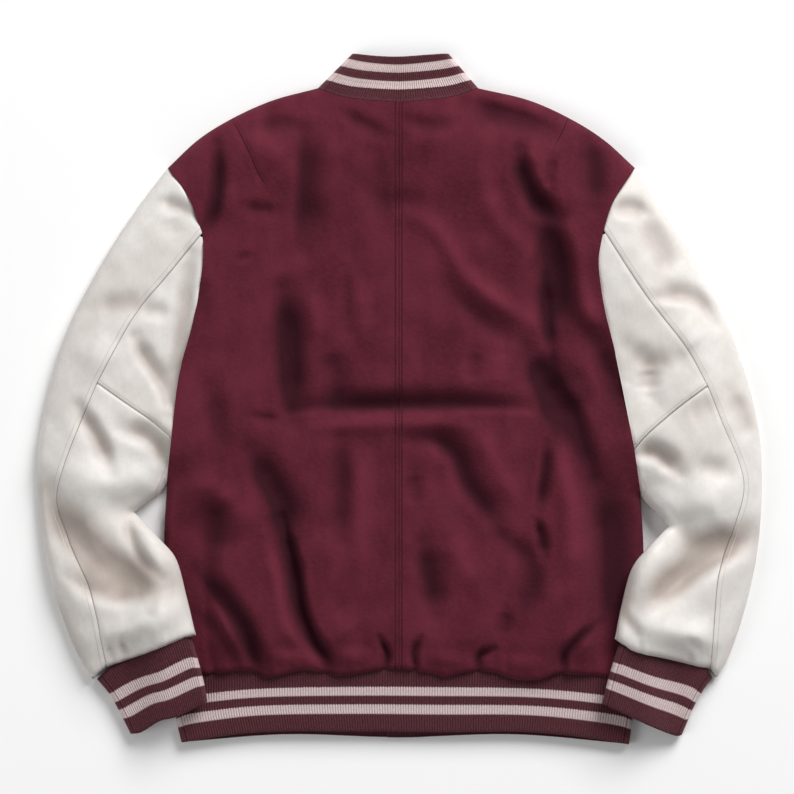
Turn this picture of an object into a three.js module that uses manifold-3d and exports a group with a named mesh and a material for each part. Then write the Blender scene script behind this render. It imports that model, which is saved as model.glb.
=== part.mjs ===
// A varsity jacket laid flat on its front, back uppermost: wool body, leather sleeves,
// and striped rib knit at the collar, cuffs and hem.
// Millimetres: +X runs to the wearer's right, +Y towards the collar, +Z up off the surface.
import * as THREE from "three";
import Module from "manifold-3d";
import { mergeVertices } from "three/addons/utils/BufferGeometryUtils.js";

// Cloth: the thickness of each wall, and the gap where two pieces are sewn together
const WOOL = 3;
const LEATHER = 2;
const RIB_KNIT = 4;
const SEAM = 0.3;
const ARMHOLE_GAP = 0.18;
const UNDER_ARMHOLE_GAP = 0.45;
const COLLAR_GAP = { back: 0.6, front: 1.8 };

// How the cloth lies: it rolls over at its outline, then domes up over the air inside
const EDGE_RADIUS = 8;
const DOME_HEIGHT = 22;
const DOME_REACH = 65;
const CENTRE_SINK = 9;
const SINK_REACH = 90;
const PROUD_EDGE = 1;
const PROUD_REACH = 14;

// The body blouses over the hem band, and each sleeve over its cuff
const HEM_BLOUSE = { rise: 2.4, reach: 30, fullness: 0.15, over: 55 };
const CUFF_BLOUSE = { rise: 1.2, reach: 25, fullness: 0.2, over: 50 };

// The lower sleeves lie on the body's sides, which they press down
const SLEEVE_LIFT = 21.5;
const LIFT_REACH = 45;
const LIFT_FROM = -100;
const LIFT_OVER = 38;
const PRESS = 0.8;
const PRESS_WIDTH = 40;
const PRESS_FADE = 25;

// The collar stands lower towards its free edge
const COLLAR_EASE = { from: 250, over: 110, by: 0.6 };

// Rib knit: the ribs stand up on the sides that show, and lie flat underneath
const RIB_PITCH = 2.7;
const RIB_RELIEF = 0.8;
const BAND_RADIUS = 7;
const BAND_LIP = 1.2;
const LIP_FROM = 0.95;

// The front closes left over right with a row of snaps
const CENTRE = -1;
const OVERLAP = 12.5;
const LAP_FLAT = 17;
const LAP_EASE = 36;
const SNAP_COUNT = 7;
const SNAP = {
  radius: 7.5, thickness: 1.3, clear: 0.3, recess: 1.8, first: 204, last: -266, sides: 14,
};

// A fold keeps part of its depth at its ends, and near the gathers of the hem or cuff
const FOLD_END = { share: 0.35, over: 0.3 };
const FOLD_GATHER = { share: 0.3, over: 40 };

// Outlines seen from above, each point as [x, y]
const OUTLINE = {
  left: {
    inward: 1,
    cuffStand: 2,
    collarSide: [[-49, 359], [-85, 323]],
    shoulder: [[-85, 323], [-133, 310], [-177, 290], [-210, 269], [-241, 240]],
    armholeTop: [[-241, 240], [-219, 209], [-204, 171]],
    armholeMiddle: [[-204, 171], [-203, 145], [-213, 82], [-228, 25], [-236, -41]],
    armholeLow: [[-236, -41], [-242, -89]],
    side: [[-242, -89], [-245, -148], [-243, -220], [-238, -292]],
    outer: [[-241, 240], [-267, 206], [-308, 144], [-350, 61], [-372, -22], [-377, -69],
      [-371, -147], [-357, -210], [-332, -272], [-319, -292]],
    innerUpper: [[-242, -89], [-251, -101], [-264, -109], [-276, -118]],
    innerLower: [[-276, -118], [-246, -148], [-232, -165], [-220, -207], [-211, -245]],
    backSeamUpper: [[-204, 171], [-241, 126], [-272, 89], [-313, 16]],
    backSeamLower: [[-313, 16], [-330, -24], [-349, -74], [-356, -106], [-344, -146],
      [-320, -202], [-304, -279]],
    elbow: [[-313, 16], [-289, -1], [-256, -24], [-236, -41]],
    cuffSeamOuter: [[-319, -292], [-304, -279]],
    cuffSeamInner: [[-304, -279], [-265, -265], [-222, -248], [-211, -245]],
    cuffOuter: [[-315, -292], [-301, -309], [-291, -327], [-280, -349]],
    cuffInner: [[-215, -250], [-207, -277], [-202, -297], [-199, -314]],
    cuffTop: [[-315, -292], [-299, -277], [-263, -261], [-224, -246], [-215, -250]],
    cuffUnder: [[-315, -290.3], [-303, -281.4], [-265, -266.8], [-223, -250.2], [-215, -248.5]],
    cuffBottom: [[-280, -349], [-269, -347], [-248, -334], [-232, -330], [-199, -314]],
    neck: [[-85, 323], [-62, 314], [-31, 309], [-1, 307]],
    hemSeam: [[-238, -292], [-200, -288], [-153, -284], [-140, -291], [-95, -283],
      [-62, -289], [-15, -282], [-1, -282]],
    frontNeck: [[-85, 323], [-81, 279], [-51, 236], [-1, 217]],
    frontCollarTop: [[-49, 359], [-44, 316], [-25, 284], [-1, 272]],
  },
  right: {
    inward: -1,
    cuffStand: 2,
    collarSide: [[51, 359], [82, 323]],
    shoulder: [[82, 323], [136, 310], [180, 290], [213, 269], [245, 240]],
    armholeTop: [[245, 240], [220, 201], [211, 174]],
    armholeMiddle: [[211, 174], [206, 142], [211, 100], [225, 39], [243, -53]],
    armholeLow: [[243, -53], [251, -103]],
    side: [[251, -103], [254, -158], [252, -230], [248, -294]],
    outer: [[245, 240], [267, 206], [307, 144], [348, 61], [372, -22], [377, -69],
      [374, -147], [362, -210], [341, -272], [330, -290]],
    innerUpper: [[251, -103], [261, -113], [271, -122], [279, -133]],
    innerLower: [[279, -133], [254, -158], [241, -175], [229, -218], [223, -249]],
    backSeamUpper: [[211, 174], [254, 108], [299, 49], [319, 13]],
    backSeamLower: [[319, 13], [333, -22], [357, -87], [347, -134], [331, -181],
      [326, -235], [323, -282]],
    elbow: [[319, 13], [287, -11], [259, -35], [243, -53]],
    cuffSeamOuter: [[330, -290], [323, -282]],
    cuffSeamInner: [[323, -282], [273, -269], [241, -261], [223, -249]],
    cuffOuter: [[326, -291], [316, -304], [307, -320], [294, -350]],
    cuffInner: [[227, -255], [221, -274], [215, -295], [210, -316]],
    cuffTop: [[326, -291], [317, -279], [272, -265], [238, -256], [227, -255]],
    cuffUnder: [[326, -288.4], [321, -282.7], [273, -269.6], [240, -261.6], [227, -252.2]],
    cuffBottom: [[294, -350], [289, -351], [263, -341], [246, -333], [210, -316]],
    neck: [[82, 323], [58, 314], [27, 309], [-1, 307]],
    hemSeam: [[248, -294], [203, -289], [163, -287], [150, -292], [123, -293], [97, -285],
      [71, -285], [50, -290], [17, -283], [-1, -282]],
    frontNeck: [[82, 323], [79, 279], [51, 236], [-1, 217]],
    frontCollarTop: [[51, 359], [46, 316], [27, 284], [-1, 272]],
  },
};
const COLLAR_TOP = [[-49, 359], [-25, 356], [1, 355], [27, 357], [51, 359]];
const HEM = {
  top: [[-233, -292.8], [-227, -286], [-180, -280], [-1, -277], [190, -281], [238, -288],
    [244, -294.8]],
  under: [[-233, -292.8], [-1, -288.8], [244, -294.8]],
  left: [[-233, -292.8], [-233, -330], [-227, -358]],
  right: [[244, -294.8], [243, -330], [239, -360]],
  bottom: [[-227, -358], [-203, -354], [-147, -347], [-51, -346], [42, -347], [137, -347],
    [203, -354], [239, -360]],
  frontBottom: [[-227, -358], [-120, -350], [-1, -353], [120, -350], [239, -360]],
};
const FRONT_HEM_SEAM = { left: [[-238, -292], [-1, -288]], right: [[248, -294], [-1, -288]] };

// Folds in the upper layer: a crest has a depth below zero
const BACK_FOLDS = [
  { path: [[-190, 269], [-189, 222], [-194, 184], [-201, 165]], width: 9, depth: 6 },
  { path: [[-147, 281], [-119, 285], [-100, 281]], width: 9, depth: 2.5 },
  { path: [[-98, 274], [-97, 201]], width: 10, depth: 3 },
  { path: [[-161, 264], [-133, 258], [-119, 243]], width: 16, depth: -2.5 },
  { path: [[-162, 196], [-133, 198]], width: 9, depth: 2.5 },
  { path: [[-126, 139], [-120, 102], [-116, 50], [-112, -14]], width: 11, depth: 4 },
  { path: [[-199, 56], [-201, -2], [-189, -59]], width: 12, depth: 2 },
  { path: [[-55, 217], [-51, 165], [-55, 113]], width: 13, depth: 1.6 },
  { path: [[-56, -59], [-62, -116], [-59, -184]], width: 14, depth: 2.2 },
  { path: [[-67, -6], [-2, -4], [53, -4], [105, -9]], width: 9, depth: 2.6 },
  { path: [[-150, -59], [-135, -85], [-118, -122], [-109, -168], [-107, -220], [-91, -249],
    [-76, -280]], width: 11, depth: 7 },
  { path: [[-199, -194], [-176, -218], [-163, -247], [-147, -284]], width: 10, depth: 6 },
  { path: [[-192, -116], [-193, -178]], width: 13, depth: 3 },
  { path: [[-17, -249], [-11, -264], [-11, -282]], width: 6, depth: 2.5 },
  { path: [[-148, -112], [-136, -168], [-128, -220], [-104, -266]], width: 11, depth: -3 },
  { path: [[-202, -90], [-174, -95]], width: 14, depth: -2 },
  { path: [[110, 279], [151, 277]], width: 10, depth: 2 },
  { path: [[124, 248], [132, 217], [146, 200]], width: 10, depth: 4 },
  { path: [[154, 200], [151, 144], [148, 82], [151, 50]], width: 14, depth: 5 },
  { path: [[133, 35], [146, -2], [154, -43]], width: 14, depth: 5 },
  { path: [[167, -2], [186, -43], [198, -85], [213, -126], [212, -230]], width: 13, depth: 5 },
  { path: [[153, -48], [152, -106], [151, -137]], width: 9, depth: 3.5 },
  { path: [[134, -168], [120, -220]], width: 14, depth: 2.5 },
  { path: [[47, -56], [71, -85], [94, -111], [115, -147], [110, -210]], width: 12, depth: 3 },
  { path: [[30, -152], [32, -210]], width: 11, depth: 2.5 },
  { path: [[19, -253], [21, -282]], width: 6, depth: 2.5 },
  { path: [[202, -236], [181, -259], [169, -286]], width: 8, depth: 4 },
  { path: [[112, 243], [117, 175]], width: 14, depth: -3 },
  { path: [[177, 279], [179, 227], [193, 165], [206, 102]], width: 12, depth: -3 },
  { path: [[42, 191], [73, 149], [110, 102], [136, 82]], width: 15, depth: -2.5 },
  { path: [[167, -43], [172, -106], [193, -210]], width: 13, depth: -3 },
  { path: [[110, 40], [125, -43], [131, -116]], width: 14, depth: -2.5 },
  { path: [[21, -20], [63, -28], [89, -64]], width: 11, depth: -1.8 },
];
const SLEEVE_FOLDS = {
  left: [
    { path: [[-243, 204], [-216, 197]], width: 9, depth: 3 },
    { path: [[-218, 145], [-216, 85]], width: 9, depth: 4 },
    { path: [[-320, 100], [-265, 92]], width: 13, depth: 2.5 },
    { path: [[-281, 63], [-260, 30], [-238, 2]], width: 11, depth: 4 },
    { path: [[-328, -24], [-308, -50], [-298, -74]], width: 11, depth: 3.5 },
    { path: [[-290, -30], [-255, -52], [-240, -72]], width: 12, depth: 4 },
    { path: [[-350, -130], [-310, -135], [-277, -120]], width: 20, depth: 5 },
    { path: [[-275, -165], [-240, -192]], width: 14, depth: 4 },
    { path: [[-340, -85], [-290, -95], [-256, -88]], width: 20, depth: -3 },
    { path: [[-285, -252], [-282, -268]], width: 5, depth: 2 },
  ],
  right: [
    { path: [[213, 196], [240, 190], [256, 165]], width: 10, depth: 3.5 },
    { path: [[272, 152], [279, 122]], width: 12, depth: 2 },
    { path: [[272, 102], [300, 96], [322, 80]], width: 12, depth: 3 },
    { path: [[238, 48], [252, 22], [256, 4]], width: 12, depth: 3 },
    { path: [[256, 30], [287, 28]], width: 12, depth: 2.5 },
    { path: [[245, -58], [270, -62], [290, -78]], width: 12, depth: 5 },
    { path: [[340, 0], [352, -30], [366, -48]], width: 11, depth: 2 },
    { path: [[366, -140], [320, -158], [282, -138]], width: 18, depth: 5 },
    { path: [[320, -158], [280, -190], [246, -208]], width: 14, depth: 4.5 },
    { path: [[262, -96], [310, -105], [345, -100]], width: 22, depth: -3 },
    { path: [[284, -246], [303, -256]], width: 7, depth: 2 },
  ],
};

// How finely each edge is divided
const BACK_COLUMNS = { shoulder: 9, neck: 4 };
const FRONT_COLUMNS = { shoulder: 3, neck: 4 };
const FRONT_ARMHOLE_REACH = 0.44;
const ARMHOLE_TOP_STEPS = 3;
const ARMHOLE_MIDDLE_STEPS = 7;
const ARMHOLE_LOW_STEPS = 2;
const UNDER_ARM_STEPS = 3;
const BACK_SIDE_STEPS = 12;
const FRONT_SIDE_STEPS = 6;
const BACK_SEAM_LOWER_STEPS = 14;
const INNER_UPPER_STEPS = 3;
const ELBOW_STEPS = 5;
const HALF_TURN_STEP = 1 - Math.SQRT1_2;
const HEM_RING = { outer: 6, inner: 5, upper: 10 };

// The sleeve's under seam opens just below the point where it leaves the armhole
const SEAM_TIP = 0.02;

// The sleeve's own turn takes in this many places of the body's side
const SIDE_PLACES = 9;

const COLOURS = { wool: 0x5a2534, leather: 0xdcd7d2, rib: 0x4b252c, snap: 0x9a9794 };

const mix = (a, b, share) => a + (b - a) * share;
const clamp = (value, low = 0, high = 1) => Math.min(Math.max(value, low), high);

function smooth(value) {
  const share = clamp(value);
  return share * share * (3 - 2 * share);
}

function evenly(count) {
  return Array.from({ length: count + 1 }, (_, step) => step / count);
}

// A smooth line through the points, or several joined end to end
function line(...runs) {
  const path = new THREE.CurvePath();
  for (const points of runs) {
    const places = points.map(([x, y]) => new THREE.Vector3(x, y, 0));
    path.add(new THREE.CatmullRomCurve3(places, false, "centripetal"));
  }
  return path;
}

function backwards(points) {
  return [...points].reverse();
}

function placesOn(curve, shares) {
  return shares.map((share) => curve.getPoint(share));
}

// Shares of an edge, close together where the cloth rolls over at an end
function rolling(length, count, { start = false, end = false }) {
  const roll = EDGE_RADIUS / length;
  const bend = HALF_TURN_STEP * roll;
  const from = start ? roll : 0;
  const to = end ? 1 - roll : 1;
  const middle = evenly(count).map((share) => mix(from, to, share));
  return [...(start ? [0, bend] : []), ...middle, ...(end ? [1 - bend, 1] : [])];
}

function rollingPlaces(points, count, ends) {
  const curve = line(points);
  return placesOn(curve, rolling(curve.getLength(), count, ends));
}

// The share of a curve at which it crosses x
function shareWhere(curve, x) {
  const started = curve.getPoint(0).x > x;
  let [low, high] = [0, 1];
  for (let pass = 0; pass < 24; pass += 1) {
    const middle = (low + high) / 2;
    if (curve.getPoint(middle).x > x === started) low = middle;
    else high = middle;
  }
  return low;
}

function joined(...runs) {
  return runs.flatMap((run, order) => (order === 0 ? run : run.slice(1)));
}

// Share of the way along a row of places, by distance
function sharesOf(places) {
  const travelled = [0];
  for (let step = 1; step < places.length; step += 1) {
    travelled.push(travelled[step - 1] + places[step].distanceTo(places[step - 1]));
  }
  const whole = travelled[travelled.length - 1];
  return travelled.map((distance) => distance / whole);
}

// The grid of places inside four edges: top and bottom run left to right, left and right run down.
// The left edge's curve can be made to fade out at a share of the way across.
function patch({ top, bottom, left, right, leftReach }) {
  const topShares = sharesOf(top);
  const bottomShares = sharesOf(bottom);
  const leftShares = sharesOf(left);
  const rightShares = sharesOf(right);
  const last = top.length - 1;
  const lowest = left.length - 1;
  return left.map((_, row) => top.map((_unused, column) => {
    if (row === 0) return top[column].clone();
    if (row === lowest) return bottom[column].clone();
    if (column === 0) return left[row].clone();
    if (column === last) return right[row].clone();
    let down = row / lowest;
    let across = column / last;
    for (let pass = 0; pass < 2; pass += 1) {
      across = mix(topShares[column], bottomShares[column], down);
      down = mix(leftShares[row], rightShares[row], across);
    }
    const place = new THREE.Vector3();
    const fromLeft = leftReach ? smooth(1 - across / leftReach) : 1 - across;
    place.addScaledVector(top[column], 1 - down).addScaledVector(bottom[column], down);
    place.addScaledVector(left[row], fromLeft).addScaledVector(right[row], across);
    place.addScaledVector(top[0], -fromLeft * (1 - down));
    place.addScaledVector(top[last], -across * (1 - down));
    place.addScaledVector(bottom[0], -fromLeft * down);
    place.addScaledVector(bottom[last], -across * down);
    return place;
  }));
}

// Draws chosen edges of a grid in, to leave the gap of a seam
function drawnIn(grid, edges) {
  const lowest = grid.length - 1;
  const last = grid[0].length - 1;
  const moves = [];
  const note = (row, column, before, after, inside, gap) => {
    const along = after.clone().sub(before).normalize();
    const across = new THREE.Vector3(-along.y, along.x, 0);
    if (across.dot(inside.clone().sub(grid[row][column])) < 0) across.negate();
    moves.push({ row, column, by: across.multiplyScalar(gap) });
  };
  for (const [edge, gap] of Object.entries(edges)) {
    const upright = edge === "left" || edge === "right";
    const fixed = edge === "left" || edge === "top" ? 0 : (upright ? last : lowest);
    const inner = fixed === 0 ? 1 : fixed - 1;
    const count = upright ? lowest : last;
    for (let step = 0; step <= count; step += 1) {
      const at = (position, depth) => (upright ? grid[position][depth] : grid[depth][position]);
      const before = at(Math.max(step - 1, 0), fixed);
      const after = at(Math.min(step + 1, count), fixed);
      const [row, column] = upright ? [step, fixed] : [fixed, step];
      note(row, column, before, after, at(step, inner), gap);
    }
  }
  for (const { row, column, by } of moves) grid[row][column].add(by);
}

function sampled(points, step = 6) {
  const curve = line(points);
  return placesOn(curve, evenly(Math.ceil(curve.getLength() / step)));
}

// An outline where the cloth turns over from the upper layer to the lower
class Turn {
  constructor(runs, inward, sewn) {
    this.sewn = sewn;
    this.places = joined(...runs);
    const sides = this.places.slice(1).map((place, step) => {
      const along = place.clone().sub(this.places[step]).normalize();
      return new THREE.Vector3(-along.y, along.x, 0).multiplyScalar(inward);
    });
    this.normals = this.places.map((_, step) => {
      const before = sides[Math.max(step - 1, 0)];
      const after = sides[Math.min(step, sides.length - 1)];
      return before.clone().add(after).normalize();
    });
  }

  nearest(x, y) {
    let best = { distance: Infinity };
    for (let step = 0; step < this.places.length - 1; step += 1) {
      const start = this.places[step];
      const end = this.places[step + 1];
      const runX = end.x - start.x;
      const runY = end.y - start.y;
      const share = clamp(((x - start.x) * runX + (y - start.y) * runY) / (runX ** 2 + runY ** 2));
      const distance = Math.hypot(x - start.x - share * runX, y - start.y - share * runY);
      if (distance < best.distance) best = { distance, step, share };
    }
    const { step, share } = best;
    const normal = this.normals[step].clone().lerp(this.normals[step + 1], share).normalize();
    const foot = this.places[step].clone().lerp(this.places[step + 1], share);
    const inside = (x - foot.x) * normal.x + (y - foot.y) * normal.y > 0;
    return { distance: inside ? best.distance : Math.min(best.distance, 0), normal, sewn: this.sewn };
  }
}

// The way the cloth turns at a place: how far over it has rolled, and which way is in
function turnAt(turns, x, y) {
  let nearest = { distance: Infinity };
  for (const turn of turns) {
    const found = turn.nearest(x, y);
    if (found.distance < nearest.distance) nearest = found;
  }
  const lean = clamp(1 - nearest.distance / EDGE_RADIUS);
  return { ...nearest, lean, level: Math.sqrt(1 - lean * lean) };
}

function dome(distance) {
  const rise = 1 - Math.min(distance / DOME_REACH, 1);
  return DOME_HEIGHT * (1 - rise * rise) - CENTRE_SINK * smooth((distance - DOME_REACH) / SINK_REACH);
}

function distanceToRun(x, y, places) {
  let best = { distance: Infinity, travelled: 0 };
  let travelled = 0;
  for (let step = 0; step < places.length - 1; step += 1) {
    const [startX, startY] = places[step];
    const runX = places[step + 1][0] - startX;
    const runY = places[step + 1][1] - startY;
    const length = Math.hypot(runX, runY);
    const share = clamp(((x - startX) * runX + (y - startY) * runY) / length ** 2);
    const distance = Math.hypot(x - startX - share * runX, y - startY - share * runY);
    if (distance < best.distance) best = { distance, travelled: travelled + share * length };
    travelled += length;
  }
  return { ...best, length: travelled };
}

// Height that a table of folds adds at a place: each is soft across and fades at its ends
function foldHeight(x, y, folds) {
  let height = 0;
  for (const { path, width, depth } of folds) {
    const { distance, travelled, length } = distanceToRun(x, y, path);
    const fade = Math.min(travelled, length - travelled) / (FOLD_END.over * length);
    const strength = mix(FOLD_END.share, 1, smooth(fade));
    height -= depth * strength * Math.exp(-((distance / width) ** 2));
  }
  return height;
}

// Where a line that runs left to right stands at x, or one that runs down stands at y
function crossing(points, value, axis) {
  const other = axis === "x" ? "y" : "x";
  const places = placesOn(line(points), evenly(60)).sort((a, b) => a[axis] - b[axis]);
  const found = places.findIndex((place) => place[axis] > value);
  if (found === -1) return places[places.length - 1][other];
  if (found === 0) return places[0][other];
  const before = places[found - 1];
  const share = (value - before[axis]) / (places[found][axis] - before[axis]);
  return mix(before[other], places[found][other], share);
}

function outerRuns(half) {
  return [half.collarSide, half.shoulder, half.outer].map((run) => sampled(run));
}

const BODY_TURNS = Object.values(OUTLINE).flatMap((half) => [
  new Turn(outerRuns(half), half.inward, true),
  new Turn([sampled(backwards(half.innerUpper)), sampled(half.side)], half.inward, true),
]);

function sleeveTurns(half) {
  const inner = [backwards(half.innerLower), backwards(half.innerUpper)].map((run) => sampled(run));
  const sideTop = sampled(half.side).slice(0, SIDE_PLACES);
  return [
    new Turn(outerRuns(half), half.inward, false),
    new Turn([...inner, sideTop], half.inward, true),
  ];
}

// How far the sleeve is raised where it lies on the body's side
function sleeveLift(half, x, y) {
  const beyondSide = (x - crossing(half.side, y, "y")) * half.inward;
  return SLEEVE_LIFT * smooth(beyondSide / LIFT_REACH + 1) * smooth((LIFT_FROM - y) / LIFT_OVER);
}

function bodyTop(x, y, turn) {
  const half = x < CENTRE ? OUTLINE.left : OUTLINE.right;
  const aboveHem = y - crossing(half.hemSeam, x, "x");
  const fromSide = (x - crossing(half.side, y, "y")) * half.inward;
  const covered = 1 - smooth((fromSide - PRESS_WIDTH) / PRESS_FADE);
  const pressed = PRESS * covered * smooth((LIFT_FROM - y) / LIFT_OVER);
  const atHem = mix(HEM_BLOUSE.fullness, 1, smooth(aboveHem / HEM_BLOUSE.over));
  const atNeck = 1 - COLLAR_EASE.by * smooth((y - COLLAR_EASE.from) / COLLAR_EASE.over);
  const armhole = [...half.armholeTop, ...half.armholeMiddle, ...half.armholeLow];
  const proud = PROUD_EDGE * (1 - smooth(distanceToRun(x, y, armhole).distance / PROUD_REACH));
  const blouse = HEM_BLOUSE.rise * (1 - smooth(aboveHem / HEM_BLOUSE.reach));
  const gathered = smooth(FOLD_GATHER.share + aboveHem / FOLD_GATHER.over);
  const folds = foldHeight(x, y, BACK_FOLDS) * (1 - pressed) * gathered;
  const rise = dome(turn.distance) * (1 - pressed) * atHem * atNeck + proud + blouse + folds;
  return EDGE_RADIUS + turn.level * (EDGE_RADIUS + rise);
}

function sleeveTop(half, folds, x, y, turn) {
  const cuff = [...half.cuffSeamOuter, ...half.cuffSeamInner];
  const aboveCuff = distanceToRun(x, y, cuff).distance;
  const atCuff = mix(CUFF_BLOUSE.fullness, 1, smooth(aboveCuff / CUFF_BLOUSE.over));
  const blouse = CUFF_BLOUSE.rise * (1 - smooth(aboveCuff / CUFF_BLOUSE.reach));
  const gathered = smooth(FOLD_GATHER.share + aboveCuff / FOLD_GATHER.over);
  const creases = foldHeight(x, y, folds) * gathered;
  const rise = dome(turn.distance) * atCuff + blouse + creases;
  return EDGE_RADIUS + turn.level * (EDGE_RADIUS + rise) + sleeveLift(half, x, y);
}

// The two faces of a wall above the hollow, at one place of the outline
function upperWall(place, turns, heightAt, wall) {
  const turn = turnAt(turns, place.x, place.y);
  const parting = turn.sewn ? turn.lean * SEAM / 2 : 0;
  const height = heightAt(place.x, place.y, turn) + parting;
  const outer = new THREE.Vector3(place.x, place.y, height);
  const inner = outer.clone().addScaledVector(turn.normal, wall * turn.lean);
  inner.z -= wall * turn.level;
  return { outer, inner };
}

// The two faces of a wall that lies on the surface below the hollow
function lowerWall(place, turns, liftAt, wall) {
  const turn = turnAt(turns, place.x, place.y);
  const parting = turn.sewn ? turn.lean * SEAM / 2 : 0;
  const height = EDGE_RADIUS * (1 - turn.level) - parting + liftAt(place.x, place.y);
  const outer = new THREE.Vector3(place.x, place.y, height);
  const inner = outer.clone().addScaledVector(turn.normal, wall * turn.lean);
  inner.z += wall * turn.level;
  return { outer, inner };
}

// A closed wall between an outer and an inner face, each a grid of places.
// The faces may be divided differently: their rims are joined by how far along each place is.
function wallOf(outer, inner, closed = false) {
  const positions = [];
  const triangles = [];
  const numbered = (grid) => grid.map((row) => {
    const numbers = row.map((place) => positions.push(place.x, place.y, place.z) / 3 - 1);
    return closed ? [...numbers, numbers[0]] : numbers;
  });
  const face = (grid, turned) => {
    for (let row = 0; row < grid.length - 1; row += 1) {
      for (let column = 0; column < grid[0].length - 1; column += 1) {
        const [a, b] = [grid[row][column], grid[row][column + 1]];
        const [d, c] = [grid[row + 1][column], grid[row + 1][column + 1]];
        triangles.push(turned ? [c, b, a] : [a, b, c], turned ? [d, c, a] : [a, c, d]);
      }
    }
  };
  const rim = (first, firstShares, second, secondShares, turned) => {
    let [one, two] = [0, 0];
    while (one < first.length - 1 || two < second.length - 1) {
      const nextOne = one < first.length - 1 ? firstShares[one + 1] : Infinity;
      const nextTwo = two < second.length - 1 ? secondShares[two + 1] : Infinity;
      const step = nextOne <= nextTwo
        ? [first[one + 1], first[one], second[two]]
        : [second[two], second[two + 1], first[one]];
      if (nextOne <= nextTwo) one += 1;
      else two += 1;
      triangles.push(turned ? step.reverse() : step);
    }
  };
  const outside = numbered(outer.grid);
  const inside = numbered(inner.grid);
  face(outside, false);
  face(inside, true);
  const lowest = outside.length - 1;
  const lowestInside = inside.length - 1;
  rim(outside[0], outer.across, inside[0], inner.across, false);
  rim(outside[lowest], outer.across, inside[lowestInside], inner.across, true);
  if (!closed) {
    const last = outside[0].length - 1;
    const lastInside = inside[0].length - 1;
    const column = (grid, number) => grid.map((row) => row[number]);
    rim(column(outside, 0), outer.down, column(inside, 0), inner.down, true);
    rim(column(outside, last), outer.down, column(inside, lastInside), inner.down, false);
  }
  return solidOf(positions, triangles);
}

function solidOf(positions, triangles) {
  const corner = (number) => new THREE.Vector3().fromArray(positions, number * 3);
  const volumeUnder = ([a, b, c]) => corner(a).dot(corner(b).cross(corner(c)));
  const volume = triangles.reduce((sum, triangle) => sum + volumeUnder(triangle), 0);
  const ordered = volume > 0 ? triangles : triangles.map(([a, b, c]) => [c, b, a]);
  const geometry = new THREE.BufferGeometry();
  geometry.setAttribute("position", new THREE.Float32BufferAttribute(positions, 3));
  geometry.setIndex(ordered.flat());
  return geometry;
}

function wallFromSections(sections) {
  const across = evenly(sections[0].length - 1);
  const down = evenly(sections.length - 1);
  const outer = sections.map((row) => row.map((section) => section.outer));
  const inner = sections.map((row) => row.map((section) => section.inner));
  return wallOf({ grid: outer, across, down }, { grid: inner, across, down });
}

const object = new THREE.Group();

function addPiece(name, geometry, colour, roughness = 0.9, metalness = 0) {
  const material = new THREE.MeshStandardMaterial({ color: colour, roughness, metalness });
  const mesh = new THREE.Mesh(geometry, material);
  mesh.name = name;
  object.add(mesh);
}

// Places along the back armhole, from the shoulder tip down to the underarm
function armholeSteps(half) {
  return {
    top: rollingPlaces(half.armholeTop, ARMHOLE_TOP_STEPS, { start: true }),
    middle: placesOn(line(half.armholeMiddle), evenly(ARMHOLE_MIDDLE_STEPS)),
    low: rollingPlaces(half.armholeLow, ARMHOLE_LOW_STEPS, { end: true }),
  };
}

function backPanel(half) {
  const armhole = armholeSteps(half);
  const side = placesOn(line(half.side), evenly(BACK_SIDE_STEPS));
  const left = joined(armhole.top, armhole.middle, armhole.low, side);
  const shoulder = rollingPlaces(backwards(half.shoulder), BACK_COLUMNS.shoulder, { start: true });
  const neck = rollingPlaces(half.neck, BACK_COLUMNS.neck, { start: true });
  const top = joined(shoulder, neck);
  const seam = line(half.hemSeam);
  const hemShares = rolling(seam.getLength(), top.length - 3, { start: true });
  const centreBack = line([half.neck[half.neck.length - 1], half.hemSeam[half.hemSeam.length - 1]]);
  const bottom = placesOn(seam, hemShares);
  const grid = patch({ top, bottom, left, right: placesOn(centreBack, sharesOf(left)) });
  drawnIn(grid, { right: SEAM / 2 });
  const armholeRows = left.length - side.length;
  const neckColumn = shoulder.length - 1;
  pullEdge(grid, armholeRows, 0, "left");
  pullEdge(grid, grid[0].length - 1, neckColumn, "top");
  const wall = (place) => upperWall(place, BODY_TURNS, bodyTop, WOOL);
  return wallFromSections(grid.map((row) => row.map(wall)));
}

// Draws in only part of an edge: the armhole on the left, or the neck on the top
function pullEdge(grid, lastStep, firstStep, edge) {
  const at = (step, depth) => (edge === "left" ? grid[step][depth] : grid[depth][step]);
  const moves = [];
  for (let step = firstStep; step <= lastStep; step += 1) {
    const before = at(Math.max(step - 1, firstStep), 0);
    const after = at(Math.min(step + 1, lastStep), 0);
    const along = after.clone().sub(before).normalize();
    const across = new THREE.Vector3(-along.y, along.x, 0);
    if (across.dot(at(step, 1).clone().sub(at(step, 0))) < 0) across.negate();
    moves.push([step, across.multiplyScalar(ARMHOLE_GAP)]);
  }
  for (const [step, move] of moves) at(step, 0).add(move);
}

// Shares of the front neck: even round the curve, then at both ends of the easing by the lap
function frontNeckShares(half) {
  const neck = line(half.frontNeck);
  const easing = shareWhere(neck, CENTRE - half.inward * LAP_EASE);
  const flat = shareWhere(neck, CENTRE - half.inward * LAP_FLAT);
  const even = rolling(neck.getLength() * easing, FRONT_COLUMNS.neck, { start: true });
  return [...even.map((share) => share * easing), flat, 1];
}

// How far the lapped edge is raised over the lapping one
function lapRise(x, height) {
  return height * (1 - smooth((x - CENTRE - LAP_FLAT) / (LAP_EASE - LAP_FLAT)));
}

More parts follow.
